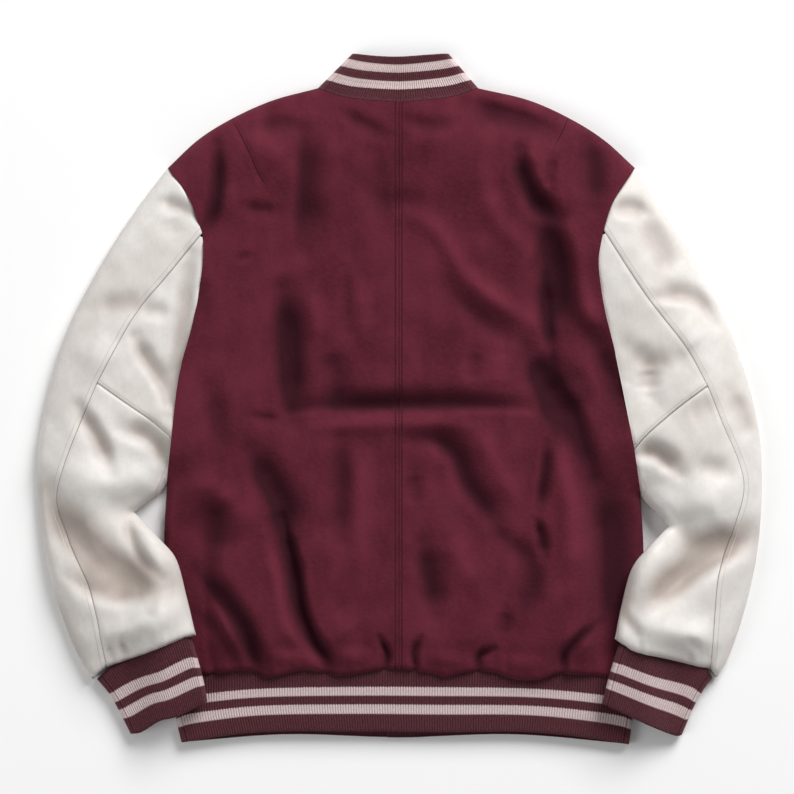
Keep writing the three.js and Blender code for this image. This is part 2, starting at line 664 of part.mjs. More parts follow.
function frontPanel(half, seamPoints, edgeX, risesBy) {
  const steps = armholeSteps(half);
  const armhole = joined(steps.top, steps.middle, steps.low);
  const side = placesOn(line(half.side), evenly(FRONT_SIDE_STEPS));
  const left = joined(armhole, side);
  const shoulder = rollingPlaces(backwards(half.shoulder), FRONT_COLUMNS.shoulder, { start: true });
  const neck = placesOn(line(half.frontNeck), frontNeckShares(half));
  const beyond = (place) => new THREE.Vector3(edgeX, place.y, 0);
  const top = [...joined(shoulder, neck), beyond(neck[neck.length - 1])];
  const seam = line(seamPoints);
  const easing = shareWhere(seam, CENTRE - half.inward * LAP_EASE);
  const flat = shareWhere(seam, CENTRE - half.inward * LAP_FLAT);
  const wide = rolling(seam.getLength() * easing, top.length - 6, { start: true });
  const hem = placesOn(seam, [...wide.map((share) => share * easing), flat, 1]);
  const bottom = [...hem, beyond(hem[hem.length - 1])];
  const ends = new THREE.LineCurve3(top[top.length - 1], bottom[bottom.length - 1]);
  const right = placesOn(ends, sharesOf(left));
  const grid = patch({ top, bottom, left, right, leftReach: FRONT_ARMHOLE_REACH });
  drawnIn(grid, { bottom: SEAM / 2 });
  pullEdge(grid, armhole.length - 1, 0, "left");
  pullEdge(grid, grid[0].length - 1, shoulder.length - 1, "top");
  const riseAt = (x) => lapRise(x, risesBy);
  const sections = grid.map((row) => row.map((place) => lowerWall(place, BODY_TURNS, riseAt, WOOL)));
  return wallFromSections(sections);
}

function addSleevePiece(side, name, sections) {
  addPiece(`sleeve_${side}_${name}`, wallFromSections(sections), COLOURS.leather, 0.55);
}

function sleeve(side) {
  const half = OUTLINE[side];
  const folds = SLEEVE_FOLDS[side];
  const turns = sleeveTurns(half);
  const armhole = armholeSteps(half);
  const heightAt = (x, y, turn) => sleeveTop(half, folds, x, y, turn);
  const top = (place) => upperWall(place, turns, heightAt, LEATHER);
  const under = (place) => lowerWall(place, turns, (x, y) => sleeveLift(half, x, y), LEATHER);
  const upperSeam = placesOn(line(half.backSeamUpper), evenly(ARMHOLE_MIDDLE_STEPS));
  const lowerSeam = placesOn(line(half.backSeamLower), evenly(BACK_SEAM_LOWER_STEPS));
  const backSeam = joined(upperSeam, lowerSeam);
  const outline = placesOn(line(half.outer), evenly(backSeam.length - 1));
  const cuffSeam = line(half.cuffSeamOuter, half.cuffSeamInner);
  const shares = sharesOf(armhole.top);

  const over = patch({
    top: [...armhole.top].reverse(),
    bottom: placesOn(line(backwards(half.cuffSeamOuter)), shares.map((share) => 1 - share).reverse()),
    left: backSeam,
    right: outline,
  });
  drawnIn(over, { top: ARMHOLE_GAP, left: SEAM / 2 });
  const innerLowerSteps = BACK_SEAM_LOWER_STEPS - armhole.low.length + 1 - INNER_UPPER_STEPS;
  const innerSide = joined(
    armhole.low,
    placesOn(line(half.innerUpper), evenly(INNER_UPPER_STEPS)),
    placesOn(line(half.innerLower), evenly(innerLowerSteps)),
  );
  const bothEnds = { start: true, end: true };
  const below = patch({
    top: rollingPlaces(half.armholeTop, UNDER_ARM_STEPS, bothEnds),
    bottom: placesOn(cuffSeam, rolling(cuffSeam.getLength(), UNDER_ARM_STEPS, bothEnds)),
    left: outline,
    right: joined(armhole.middle, innerSide),
  });
  drawnIn(below, { top: UNDER_ARMHOLE_GAP });
  pullRight(below, ARMHOLE_MIDDLE_STEPS + armhole.low.length - 1);
  const sections = over.map((row, number) => [
    ...row.slice(0, -1).map(top),
    under(below[number][0]),
    ...below[number].slice(1).map(under),
  ]);
  addSleevePiece(side, "outer", sections);

  const fromTip = evenly(ARMHOLE_MIDDLE_STEPS).map((share) => Math.max(share, SEAM_TIP));
  const elbow = line(half.elbow);
  const elbowSteps = placesOn(elbow, rolling(elbow.getLength(), ELBOW_STEPS, { end: true }));
  const seamSide = placesOn(line(half.backSeamUpper), fromTip);
  const armSide = placesOn(line(half.armholeMiddle), fromTip);
  const tipRow = placesOn(new THREE.LineCurve3(seamSide[0], armSide[0]), sharesOf(elbowSteps));
  const upper = patch({ top: tipRow, bottom: elbowSteps, left: seamSide, right: armSide });
  drawnIn(upper, { left: SEAM / 2, right: ARMHOLE_GAP, bottom: SEAM / 2 });
  addSleevePiece(side, "under_upper", upper.map((row) => row.map(top)));

  const cuffInner = line(half.cuffSeamInner);
  const lower = patch({
    top: elbowSteps,
    bottom: placesOn(cuffInner, rolling(cuffInner.getLength(), ELBOW_STEPS, { end: true })),
    left: lowerSeam,
    right: innerSide,
  });
  drawnIn(lower, { left: SEAM / 2, top: SEAM / 2 });
  pullRight(lower, armhole.low.length - 1);
  addSleevePiece(side, "under_lower", lower.map((row) => row.map(top)));
}

// Draws in the armhole's share of a lower sleeve's right edge
function pullRight(grid, lastStep) {
  const last = grid[0].length - 1;
  for (let step = 0; step <= lastStep; step += 1) {
    const inside = grid[step][last - 1].clone().sub(grid[step][last]).normalize();
    grid[step][last].addScaledVector(inside, ARMHOLE_GAP);
  }
}

// A place on the band between its seam and its free edge
function bandPlace(edges, across, down) {
  const place = new THREE.Vector3();
  place.addScaledVector(edges.seam.getPoint(across), 1 - down);
  place.addScaledVector(edges.free.getPoint(across), down);
  place.addScaledVector(edges.left.getPoint(down), 1 - across);
  place.addScaledVector(edges.right.getPoint(down), across);
  place.addScaledVector(edges.seam.getPoint(0), -(1 - across) * (1 - down));
  place.addScaledVector(edges.seam.getPoint(1), -across * (1 - down));
  place.addScaledVector(edges.free.getPoint(0), -(1 - across) * down);
  place.addScaledVector(edges.free.getPoint(1), -across * down);
  return place;
}

// The columns of a flattened ring of rib knit: under, round the left edge, over with ribs,
// round the right edge, and under again. Each says its layer, its share across and its turn.
function ringColumns({ width, from, to, lap, underSteps, overSteps, ribbed }) {
  const edge = BAND_RADIUS / width;
  const roll = (layer, turned) => {
    const lean = Math.cos(turned);
    return { layer, across: edge * (1 - lean), lean };
  };
  const flat = (layer, across) => ({ layer, across, lean: 0, rib: 0 });
  const under = (...ends) => [
    ...evenly(underSteps).map((share) => flat("under", mix(ends[0], ends[1], share))),
    ...ends.slice(2).map((share) => flat("under", share)),
  ];
  const quarter = Math.PI / 4;
  const leftRoll = [roll("under", quarter), roll("over", 0), roll("over", quarter)];
  const mirrored = [...leftRoll].reverse().map((column) => (
    { ...column, across: 1 - column.across, right: true }
  ));
  const over = evenly(overSteps).map((share, step) => {
    const rib = ribbed && step > 0 && step < overSteps ? (step % 2 ? 1 : -1) : 0;
    return { ...flat("over", mix(edge, 1 - edge, share)), rib };
  });
  const toCentre = [1 - edge, ...lap, to];
  const lastUnder = under(...toCentre).map((column) => ({ ...column, fromRight: true }));
  return [...under(from, edge), ...leftRoll, ...over, ...mirrored, ...lastUnder];
}

// One row of a ring: the outer or the inner face, with its lip turned in at the free edge.
// Its upper side may stand up at the seam, to meet the cloth sewn to it.
function ringRow(columns, edges, down, { inside, lip, radius, stand, liftAt, riseAt }) {
  return columns.map((column) => {
    const place = bandPlace(edges[column.layer], column.across, down);
    const reach = inside ? radius - RIB_KNIT : radius;
    const level = Math.sqrt(1 - column.lean ** 2);
    const inset = (radius - reach) * column.lean * (column.right ? -1 : 1);
    const relief = inside ? 0 : (column.rib ?? 0) * RIB_RELIEF / 2;
    const way = column.layer === "over" ? 1 : -1;
    const turnedIn = (inside ? -1 : 1) * lip * level;
    const height = radius + way * (reach * level + relief - turnedIn);
    const raised = way > 0 ? stand * level * (1 - down) : riseAt(column, place.x);
    place.x += inset;
    place.z = height + liftAt(place.x, place.y) + raised;
    return place;
  });
}

// The hem band or a cuff: a flattened ring of doubled knit, its ribs raised on the upper side
function ribRing({ edges, width, from, to, lap = [], closed, stand = 0, ...heights }) {
  const ribs = 2 * Math.round((width - 2 * BAND_RADIUS) / RIB_PITCH);
  const ends = { width, from, to, lap };
  const outerSteps = { underSteps: HEM_RING.outer, overSteps: ribs, ribbed: true };
  const innerSteps = { underSteps: HEM_RING.inner, overSteps: HEM_RING.upper, ribbed: false };
  const outerColumns = ringColumns({ ...ends, ...outerSteps });
  const innerColumns = ringColumns({ ...ends, ...innerSteps });
  const options = { radius: BAND_RADIUS, stand, liftAt: () => 0, riseAt: () => 0, ...heights };
  const outerDown = [0, LIP_FROM, 1];
  const outer = outerDown.map((down, row) => ringRow(
    outerColumns, edges, down, { ...options, inside: false, lip: row === 2 ? BAND_LIP : 0 },
  ));
  const inner = [0, 1].map((down) => ringRow(
    innerColumns, edges, down, { ...options, inside: true, lip: down * BAND_LIP / 2 },
  ));
  const sharesAcross = (columns) => columns.map((column, number) => {
    const under = column.layer === "under";
    if (!under) return 1 + column.across;
    const onRight = number > columns.length / 2;
    return onRight ? 3 - column.across : 1 - column.across;
  });
  const outerAcross = sharesAcross(outerColumns);
  const innerAcross = sharesAcross(innerColumns);
  if (closed) {
    outer.forEach((row) => row.pop());
    inner.forEach((row) => row.pop());
  }
  return wallOf(
    { grid: outer, across: outerAcross, down: outerDown },
    { grid: inner, across: innerAcross, down: [0, 1] },
    closed,
  );
}

function hemBand() {
  const left = line(HEM.left);
  const right = line(HEM.right);
  const over = { seam: line(HEM.top), free: line(HEM.bottom), left, right };
  const under = { seam: line(HEM.under), free: line(HEM.frontBottom), left, right };
  const width = HEM.right[0][0] - HEM.left[0][0];
  const shareAt = (x) => (x - HEM.left[0][0]) / width;
  const riseAt = (column, x) => (column.fromRight ? lapRise(x, RIB_KNIT + SEAM) : 0);
  return ribRing({
    edges: { over, under },
    width,
    from: shareAt(CENTRE + OVERLAP),
    to: shareAt(CENTRE - OVERLAP),
    lap: [shareAt(CENTRE + LAP_EASE), shareAt(CENTRE + LAP_FLAT)],
    closed: false,
    riseAt,
  });
}

function cuff(half) {
  const mirrored = half.inward < 0;
  const left = line(mirrored ? half.cuffInner : half.cuffOuter);
  const right = line(mirrored ? half.cuffOuter : half.cuffInner);
  const ordered = (points) => line(mirrored ? backwards(points) : points);
  const free = ordered(half.cuffBottom);
  const over = { seam: ordered(half.cuffTop), free, left, right };
  const under = { seam: ordered(half.cuffUnder), free, left, right };
  const width = over.seam.getLength();
  const liftAt = (x, y) => sleeveLift(half, x, y);
  return ribRing({
    edges: { over, under }, width, from: 0.5, to: 0.5, closed: true, stand: half.cuffStand, liftAt,
  });
}

// The collar: a flattened strip of rib from the centre front round the back of the neck
function collar() {
  const backSeam = line(OUTLINE.left.neck, backwards(OUTLINE.right.neck));
  const width = backSeam.getLength();
  const back = {
    seam: backSeam,
    free: line(COLLAR_TOP),
    left: line(backwards(OUTLINE.left.collarSide)),
    right: line(backwards(OUTLINE.right.collarSide)),
  };
  const front = (half) => {
    const end = CENTRE - half.inward * 0.5;
    const cut = (points) => [...points.slice(0, -1), [end, points[points.length - 1][1]]];
    const seam = line(cut(half.frontNeck));
    const free = line(cut(half.frontCollarTop));
    return {
      seam,
      free,
      left: line(backwards(half.collarSide)),
      right: line([cut(half.frontNeck).pop(), cut(half.frontCollarTop).pop()]),
    };
  };
  const frontColumns = (half) => {
    const edges = front(half);
    return frontNeckShares(half).slice(1).map((across) => ({ edges, across, under: true }));
  };
  const ribs = 2 * Math.round((width - 2 * EDGE_RADIUS) / RIB_PITCH);
  const backColumns = (count, ribbed) => {
    const steps = rolling(width, count, { start: true, end: true });
    return steps.map((across, step) => {
      const raised = ribbed && step > 2 && step < steps.length - 3;
      return { edges: back, across, under: false, rib: raised ? (step % 2 ? 1 : -1) : 0 };
    });
  };
  const columnsWith = (count, ribbed) => [
    ...frontColumns(OUTLINE.left).reverse(),
    ...backColumns(count, ribbed),
    ...frontColumns(OUTLINE.right),
  ];
  const row = (columns, down, face, lip) => columns.map(({ edges, across, under, rib }) => {
    const place = bandPlace(edges, across, down);
    if (down === 0) {
      const inward = bandPlace(edges, across, 0.05).sub(place).normalize();
      place.addScaledVector(inward, under ? COLLAR_GAP.front : COLLAR_GAP.back);
    }
    const wall = under
      ? lowerWall(place, BODY_TURNS, () => lip, RIB_KNIT)
      : upperWall(place, BODY_TURNS, (x, y, turn) => bodyTop(x, y, turn) - lip - SEAM, RIB_KNIT);
    const found = wall[face];
    if (face === "outer" && rib) found.z += rib * RIB_RELIEF / 2;
    return found;
  });
  const fine = columnsWith(ribs, true);
  const plain = columnsWith(10, false);
  const shares = (columns) => {
    const whole = columns.length;
    const frontCount = frontColumns(OUTLINE.left).length;
    return columns.map((column, number) => {
      if (column.under && number < whole / 2) return number / frontCount - 1;
      if (column.under) return 2 + (number - whole + 1) / frontCount;
      return column.across;
    });
  };
  const down = [0, LIP_FROM, 1];
  const outer = down.map((share, number) => row(fine, share, "outer", number === 2 ? BAND_LIP : 0));
  const inner = [0, 1].map((share) => row(plain, share, "inner", 0));
  return wallOf(
    { grid: outer, across: shares(fine), down },
    { grid: inner, across: shares(plain), down: [0, 1] },
  );
}

// Snaps: flush caps in shallow recesses in the underside of the lapping front
const snapPlaces = evenly(SNAP_COUNT - 1).map((share) => mix(SNAP.first, SNAP.last, share));

function snapCap(y) {
  const bevel = 0.4;
  const profile = [
    [0, 0],
    [SNAP.radius - bevel, 0],
    [SNAP.radius, bevel],
    [SNAP.radius, SNAP.thickness],
    [0, SNAP.thickness],
  ].map(([across, up]) => new THREE.Vector2(across, up));
  const geometry = new THREE.LatheGeometry(profile, SNAP.sides);
  geometry.rotateX(Math.PI / 2);
  geometry.translate(CENTRE, y, SNAP.clear / 2);
  return geometry;
}

const wasm = await Module();
wasm.setup();

function manifoldOf(geometry) {
  const bare = new THREE.BufferGeometry();
  bare.setAttribute("position", geometry.getAttribute("position"));
  bare.setIndex(geometry.index);
  const merged = mergeVertices(bare, 1e-4);
  return new wasm.Manifold(new wasm.Mesh({
    numProp: 3,
    vertProperties: new Float32Array(merged.attributes.position.array),
    triVerts: new Uint32Array(merged.index.array),
  }));
}

function geometryOf(manifold) {
  const { vertProperties, triVerts } = manifold.getMesh();
  const geometry = new THREE.BufferGeometry();
  geometry.setAttribute("position", new THREE.BufferAttribute(vertProperties, 3));
  geometry.setIndex(new THREE.BufferAttribute(triVerts, 1));
  return geometry;
}

function withRecesses(panel) {
  let solid = manifoldOf(panel);
  for (const y of snapPlaces) {
    const radius = SNAP.radius + SNAP.clear;
    const cutter = new THREE.CylinderGeometry(radius, radius, 2 * SNAP.recess, SNAP.sides);
    cutter.rotateX(Math.PI / 2);
    cutter.translate(CENTRE, y, 0);
    solid = solid.subtract(manifoldOf(cutter));
  }
  return geometryOf(solid);
}

addPiece("back_left", backPanel(OUTLINE.left), COLOURS.wool);
addPiece("back_right", backPanel(OUTLINE.right), COLOURS.wool);
const lapping = frontPanel(OUTLINE.left, FRONT_HEM_SEAM.left, CENTRE + OVERLAP, 0);
addPiece("front_left", withRecesses(lapping), COLOURS.wool);
const lapped = frontPanel(OUTLINE.right, FRONT_HEM_SEAM.right, CENTRE - OVERLAP, WOOL + SEAM);
addPiece("front_right", lapped, COLOURS.wool);
sleeve("left");
sleeve("right");
addPiece("collar_rib", collar(), COLOURS.rib);
addPiece("hem_rib", hemBand(), COLOURS.rib);
addPiece("cuff_left", cuff(OUTLINE.left), COLOURS.rib);
addPiece("cuff_right", cuff(OUTLINE.right), COLOURS.rib);
snapPlaces.forEach((y, number) => {
  addPiece(`snap_${number + 1}`, snapCap(y), COLOURS.snap, 0.35, 0.9);
});

export default object;
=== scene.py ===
"""A varsity jacket laid flat on its front: its cloth, leather, rib knit, stitching and light.

Lengths are in millimetres until a mesh is made. +X runs to the wearer's right, +Y towards the
collar, +Z up off the surface that the jacket lies on.
"""

import logging
import math
from dataclasses import dataclass
from enum import Enum

import bmesh
import bpy
import numpy as np
from mathutils import Matrix, Vector


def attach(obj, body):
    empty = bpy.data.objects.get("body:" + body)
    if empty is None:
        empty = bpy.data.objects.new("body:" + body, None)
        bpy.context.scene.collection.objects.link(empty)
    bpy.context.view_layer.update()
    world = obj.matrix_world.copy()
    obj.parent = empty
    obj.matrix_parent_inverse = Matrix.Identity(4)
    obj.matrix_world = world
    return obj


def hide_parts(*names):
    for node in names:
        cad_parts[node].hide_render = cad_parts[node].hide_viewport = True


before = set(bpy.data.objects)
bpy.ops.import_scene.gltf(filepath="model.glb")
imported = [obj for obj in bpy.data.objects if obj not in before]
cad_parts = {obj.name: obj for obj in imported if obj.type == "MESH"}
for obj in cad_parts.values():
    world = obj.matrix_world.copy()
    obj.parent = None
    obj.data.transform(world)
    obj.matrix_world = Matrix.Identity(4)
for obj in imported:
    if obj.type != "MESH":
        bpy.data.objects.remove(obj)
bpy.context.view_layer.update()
LOG = logging.getLogger("jacket")

Point = tuple[float, float]
Run = tuple[Point, ...]
MM = 0.001

WOOL_THICKNESS = 2.6
LEATHER_THICKNESS = 1.6
KNIT_THICKNESS = 1.2
LAP_RISE = 3.5
# Fold depth in millimetres at which the painted shade in a trough, and the painted highlight on a crest, are
# full.
FULL_HOLLOW = 9.5
SEAM_GAP = 0.3
CENTRE = -1.0
LINE_STEP = 2.5
ROLL_STEPS = (0.0, 0.3, 1.0, 2.0, 3.3, 4.8, 6.4, 8.0)


class Side(Enum):
    """The wearer's left or right, which the back view shows the same way round."""

    LEFT = "left"
    RIGHT = "right"


class Layer(Enum):
    """The layer that shows, or the one that lies on the surface."""

    UPPER = 1
    LOWER = -1


@dataclass(frozen=True)
class HalfOutline:
    """The edges of one half of the jacket, seen from above."""

    inward: int
    cuff_stand: float
    collar_side: Run
    shoulder: Run
    armhole_top: Run
    armhole_middle: Run
    armhole_low: Run
    side: Run
    outer: Run
    inner_upper: Run
    inner_lower: Run
    back_seam_upper: Run
    back_seam_lower: Run
    elbow: Run
    cuff_seam_outer: Run
    cuff_seam_inner: Run
    cuff_outer: Run
    cuff_inner: Run
    cuff_top: Run
    cuff_under: Run
    cuff_bottom: Run
    neck: Run
    hem_seam: Run
    front_neck: Run
    front_collar_top: Run
    front_hem_seam: Run


@dataclass(frozen=True)
class Fold:
    """A soft trough in the cloth, or a crest where its depth is below zero.

    A lean above zero makes it wider to the left of its path and steeper to the right.
    """

    path: Run
    width: float
    depth: float
    lean: float = 0.0


HALVES = {
    Side.LEFT: HalfOutline(
        inward=1,
        cuff_stand=2,
        collar_side=((-49, 359), (-85, 323)),
        shoulder=((-85, 323), (-133, 310), (-177, 290), (-210, 269), (-241, 240)),
        armhole_top=((-241, 240), (-219, 209), (-204, 171)),
        armhole_middle=((-204, 171), (-203, 145), (-213, 82), (-228, 25), (-236, -41)),
        armhole_low=((-236, -41), (-242, -89)),
        side=((-242, -89), (-245, -148), (-243, -220), (-238, -292)),
        outer=(
            (-241, 240), (-267, 206), (-308, 144), (-350, 61), (-372, -22), (-377, -69),
            (-371, -147), (-357, -210), (-332, -272), (-319, -292),
        ),
        inner_upper=((-242, -89), (-251, -101), (-264, -109), (-276, -118)),
        inner_lower=((-276, -118), (-246, -148), (-232, -165), (-220, -207), (-211, -245)),
        back_seam_upper=((-204, 171), (-241, 126), (-272, 89), (-313, 16)),
        back_seam_lower=(
            (-313, 16), (-330, -24), (-349, -74), (-356, -106), (-344, -146), (-320, -202),
            (-304, -279),
        ),
        elbow=((-313, 16), (-289, -1), (-256, -24), (-236, -41)),
        cuff_seam_outer=((-319, -292), (-304, -279)),
        cuff_seam_inner=((-304, -279), (-265, -265), (-222, -248), (-211, -245)),
        cuff_outer=((-315, -292), (-301, -309), (-291, -327), (-280, -349)),
        cuff_inner=((-215, -250), (-207, -277), (-202, -297), (-199, -314)),
        cuff_top=((-315, -292), (-299, -277), (-263, -261), (-224, -246), (-215, -250)),
        cuff_under=((-315, -292), (-303, -282), (-265, -267), (-223, -250.5), (-215, -250)),
        cuff_bottom=((-280, -349), (-269, -347), (-248, -334), (-232, -330), (-199, -314)),
        neck=((-85, 323), (-62, 314), (-31, 309), (-1, 307)),
        hem_seam=(
            (-238, -292), (-200, -288), (-153, -284), (-140, -291), (-95, -283), (-62, -289),
            (-15, -282), (-1, -282),
        ),
        front_neck=((-85, 323), (-81, 279), (-51, 236), (-1, 217)),
        front_collar_top=((-49, 359), (-44, 316), (-25, 284), (-1, 272)),
        front_hem_seam=((-238, -292), (-1, -288)),
    ),
    Side.RIGHT: HalfOutline(
        inward=-1,
        cuff_stand=2,
        collar_side=((51, 359), (82, 323)),
        shoulder=((82, 323), (136, 310), (180, 290), (213, 269), (245, 240)),
        armhole_top=((245, 240), (220, 201), (211, 174)),
        armhole_middle=((211, 174), (206, 142), (211, 100), (225, 39), (243, -53)),
        armhole_low=((243, -53), (251, -103)),
        side=((251, -103), (254, -158), (252, -230), (248, -294)),
        outer=(
            (245, 240), (267, 206), (307, 144), (348, 61), (372, -22), (377, -69), (374, -147),
            (362, -210), (341, -272), (330, -290),
        ),
        inner_upper=((251, -103), (261, -113), (271, -122), (279, -133)),
        inner_lower=((279, -133), (254, -158), (241, -175), (229, -218), (223, -249)),
        back_seam_upper=((211, 174), (254, 108), (299, 49), (319, 13)),
        back_seam_lower=(
            (319, 13), (333, -22), (357, -87), (347, -134), (331, -181), (326, -235),
            (323, -282),
        ),
        elbow=((319, 13), (287, -11), (259, -35), (243, -53)),
        cuff_seam_outer=((330, -290), (323, -282)),
        cuff_seam_inner=((323, -282), (273, -269), (241, -261), (223, -249)),
        cuff_outer=((326, -291), (316, -304), (307, -320), (294, -350)),
        cuff_inner=((227, -255), (221, -274), (215, -295), (210, -316)),
        cuff_top=((326, -291), (317, -279), (272, -265), (238, -256), (227, -255)),
        cuff_under=((326, -291), (321, -284), (273, -271), (240, -262.5), (227, -255)),
        cuff_bottom=((294, -350), (289, -351), (263, -341), (246, -333), (210, -316)),
        neck=((82, 323), (58, 314), (27, 309), (-1, 307)),
        hem_seam=(
            (248, -294), (203, -289), (163, -287), (150, -292), (123, -293), (97, -285),
            (71, -285), (50, -290), (17, -283), (-1, -282),
        ),
        front_neck=((82, 323), (77.5, 279), (51, 236), (-1, 217)),
        front_collar_top=((51, 359), (46, 316), (27, 284), (-1, 272)),
        front_hem_seam=((248, -294), (-1, -288)),
    ),
}
COLLAR_TOP = ((-49, 359), (-25, 356), (1, 355), (27, 357), (51, 359))
HEM_TOP = (
    (-233, -292.8), (-227, -286), (-180, -280), (-1, -277), (190, -281), (238, -288),
    (244, -294.8),
)
HEM_UNDER = ((-233, -292.8), (-1, -288.8), (244, -294.8))
HEM_LEFT = ((-233, -292.8), (-233, -330), (-227, -358))
HEM_RIGHT = ((244, -294.8), (243, -330), (239, -360))
HEM_BOTTOM = (
    (-227, -358), (-203, -354), (-147, -347), (-51, -346), (42, -347), (137, -347),
    (203, -354), (239, -360),
)
HEM_FRONT_BOTTOM = ((-227, -358), (-120, -350), (-1, -353), (120, -350), (239, -360))

BACK_FOLDS = (
    Fold(((-190, 264), (-188, 234), (-191, 200), (-203, 167)), 8, 10),
    Fold(((-149, 280), (-126, 285), (-103, 282)), 9, 5),
    Fold(((-101, 276), (-99, 245), (-100, 206), (-103, 158)), 15, 9, 0.45),
    Fold(((-162, 269), (-140, 262), (-119, 241)), 16, -5),
    Fold(((-161, 199), (-145, 195), (-128, 195)), 8, 5),
    Fold(((-169, 145), (-153, 148)), 5, 2.5),
    Fold(((-122, 113), (-118, 71), (-115, 26), (-113, -21)), 16, 14, 0.25),
    Fold(((-77, 50), (-67, 23), (-65, -8)), 15, 7),
    Fold(((-57, 134), (-54, 71)), 7, 3),
    Fold(((-89, 113), (-86, 57)), 11, -4),
    Fold(((-39, 113), (-36, 64)), 10, -3),
    Fold(((-192, 9), (-187, -29), (-180, -60)), 13, 5),
    Fold(((-155, -18), (-140, -21), (-126, -21)), 6, 4),
    Fold(((-112, -13), (-77, -8), (-36, -8), (20, -7), (79, -7), (134, -10)), 10, 11, 0.45),
    Fold(((-91, -29), (-36, -26), (27, -26), (68, -28)), 10, -4.5),
    Fold(((-154, -55), (-140, -81), (-124, -112), (-115, -147)), 17, 14, 0.2),
    Fold(
        ((-123, -126), (-109, -175), (-102, -220),
         (-90, -248), (-75, -268), (-71, -288)), 9, 15, -0.2,
    ),
    Fold(((-140, -140), (-129, -182), (-117, -234), (-91, -272)), 10, -5),
    Fold(((-211, -178), (-185, -206), (-166, -234), (-152, -265), (-145, -288)), 11, 15, 0.2),
    Fold(((-214, -220), (-192, -237), (-173, -268), (-169, -282)), 8, 6),
    Fold(((-195, -102), (-188, -130), (-192, -164)), 18, 9),
    Fold(((-223, -92), (-195, -93), (-171, -116)), 12, -4),
    Fold(((-63, -43), (-60, -88), (-62, -147)), 11, 7),
    Fold(((-39, -60), (-41, -130), (-36, -199)), 14, -4),
    Fold(((-71, -220), (-50, -248)), 14, -4),
    Fold(((-20, -248), (-12, -265), (-15, -286)), 4.5, 8, -0.2),
    Fold(((22, -248), (15, -265), (18, -286)), 4.5, 7),
    Fold(((99, -259), (83, -268), (83, -288)), 4.5, 8),
    Fold(((110, -220), (106, -248)), 8, 5),
    Fold(((207, -232), (182, -253), (171, -268), (169, -288)), 6, 10),
    Fold(((-64, -265), (-36, -268)), 10, -4),
    Fold(((33, -268), (68, -274)), 10, -4),
    Fold(((110, -274), (144, -275)), 10, -4),
    Fold(((-133, -265), (-98, -272)), 9, -4),
    Fold(((-60, 297), (-36, 283), (-13, 272)), 8, 5),
    Fold(((6, 289), (33, 282), (58, 287)), 9, 5),
    Fold(((70, 306), (103, 297), (134, 288), (160, 276)), 13, 8, -0.3),
    Fold(((124, 257), (130, 229), (142, 205), (167, 187)), 12, 13, 0.1),
    Fold(((160, 250), (155, 229), (157, 217)), 6, 5),
    Fold(((136, 260), (139, 234), (148, 219)), 8, -4),
    Fold(((148, 193), (158, 158), (163, 120), (160, 71)), 20, 14, 0.1),
    Fold(((151, 127), (153, 82), (158, 42)), 7, 7),
    Fold(((134, 44), (148, 23), (158, -2), (163, -33)), 20, 17, 0.15),
    Fold(((163, 9), (177, -12), (188, -43), (200, -81)), 15, 11, -0.2),
    Fold(((203, -85), (219, -130), (222, -192), (219, -251)), 21, 12, 0.2),
    Fold(((153, -47), (149, -85), (144, -116)), 6, 9, 0.2),
    Fold(((142, -126), (148, -145), (149, -164)), 6, 8),
    Fold(((172, -38), (170, -78), (177, -126), (177, -199)), 13, -6),
    Fold(((99, -144), (131, -164), (137, -196), (120, -234)), 12, 6),
    Fold(((13, -44), (40, -44), (58, -60), (70, -88), (90, -117), (103, -140)), 12, 11, 0.25),
    Fold(((82, -33), (98, -67), (120, -106)), 11, -4),
    Fold(((23, -151), (31, -189), (36, -223)), 13, 10, 0.2),
    Fold(((13, -78), (20, -112)), 10, 4),
    Fold(((54, -140), (68, -175), (82, -199)), 14, -4.5),
    Fold(((7, 193), (37, 175), (68, 130), (103, 99), (139, 78)), 12, -6),
    Fold(((51, 113), (75, 90), (103, 70), (127, 57)), 12, 5, 0.2),
    Fold(((103, 50), (103, 9)), 14, -4),
    Fold(((77, 50), (77, 16)), 9, 4),
    Fold(((195, 269), (203, 238), (202, 200)), 14, 9),
    Fold(((162, 203), (181, 154), (189, 106), (212, 54)), 12, -6),
    Fold(((181, 82), (203, 61), (221, 16), (232, -26)), 14, 8),
    Fold(((176, 33), (203, -12)), 12, 4),
    Fold(((89, 224), (103, 182), (134, 154)), 13, -5),
    Fold(((-22, 252), (-17, 175)), 10, 3),
    Fold(((-57, 238), (-15, 206), (33, 206)), 12, 2.5),
    Fold(((-206, 127), (-202, 78)), 10, 3),
)
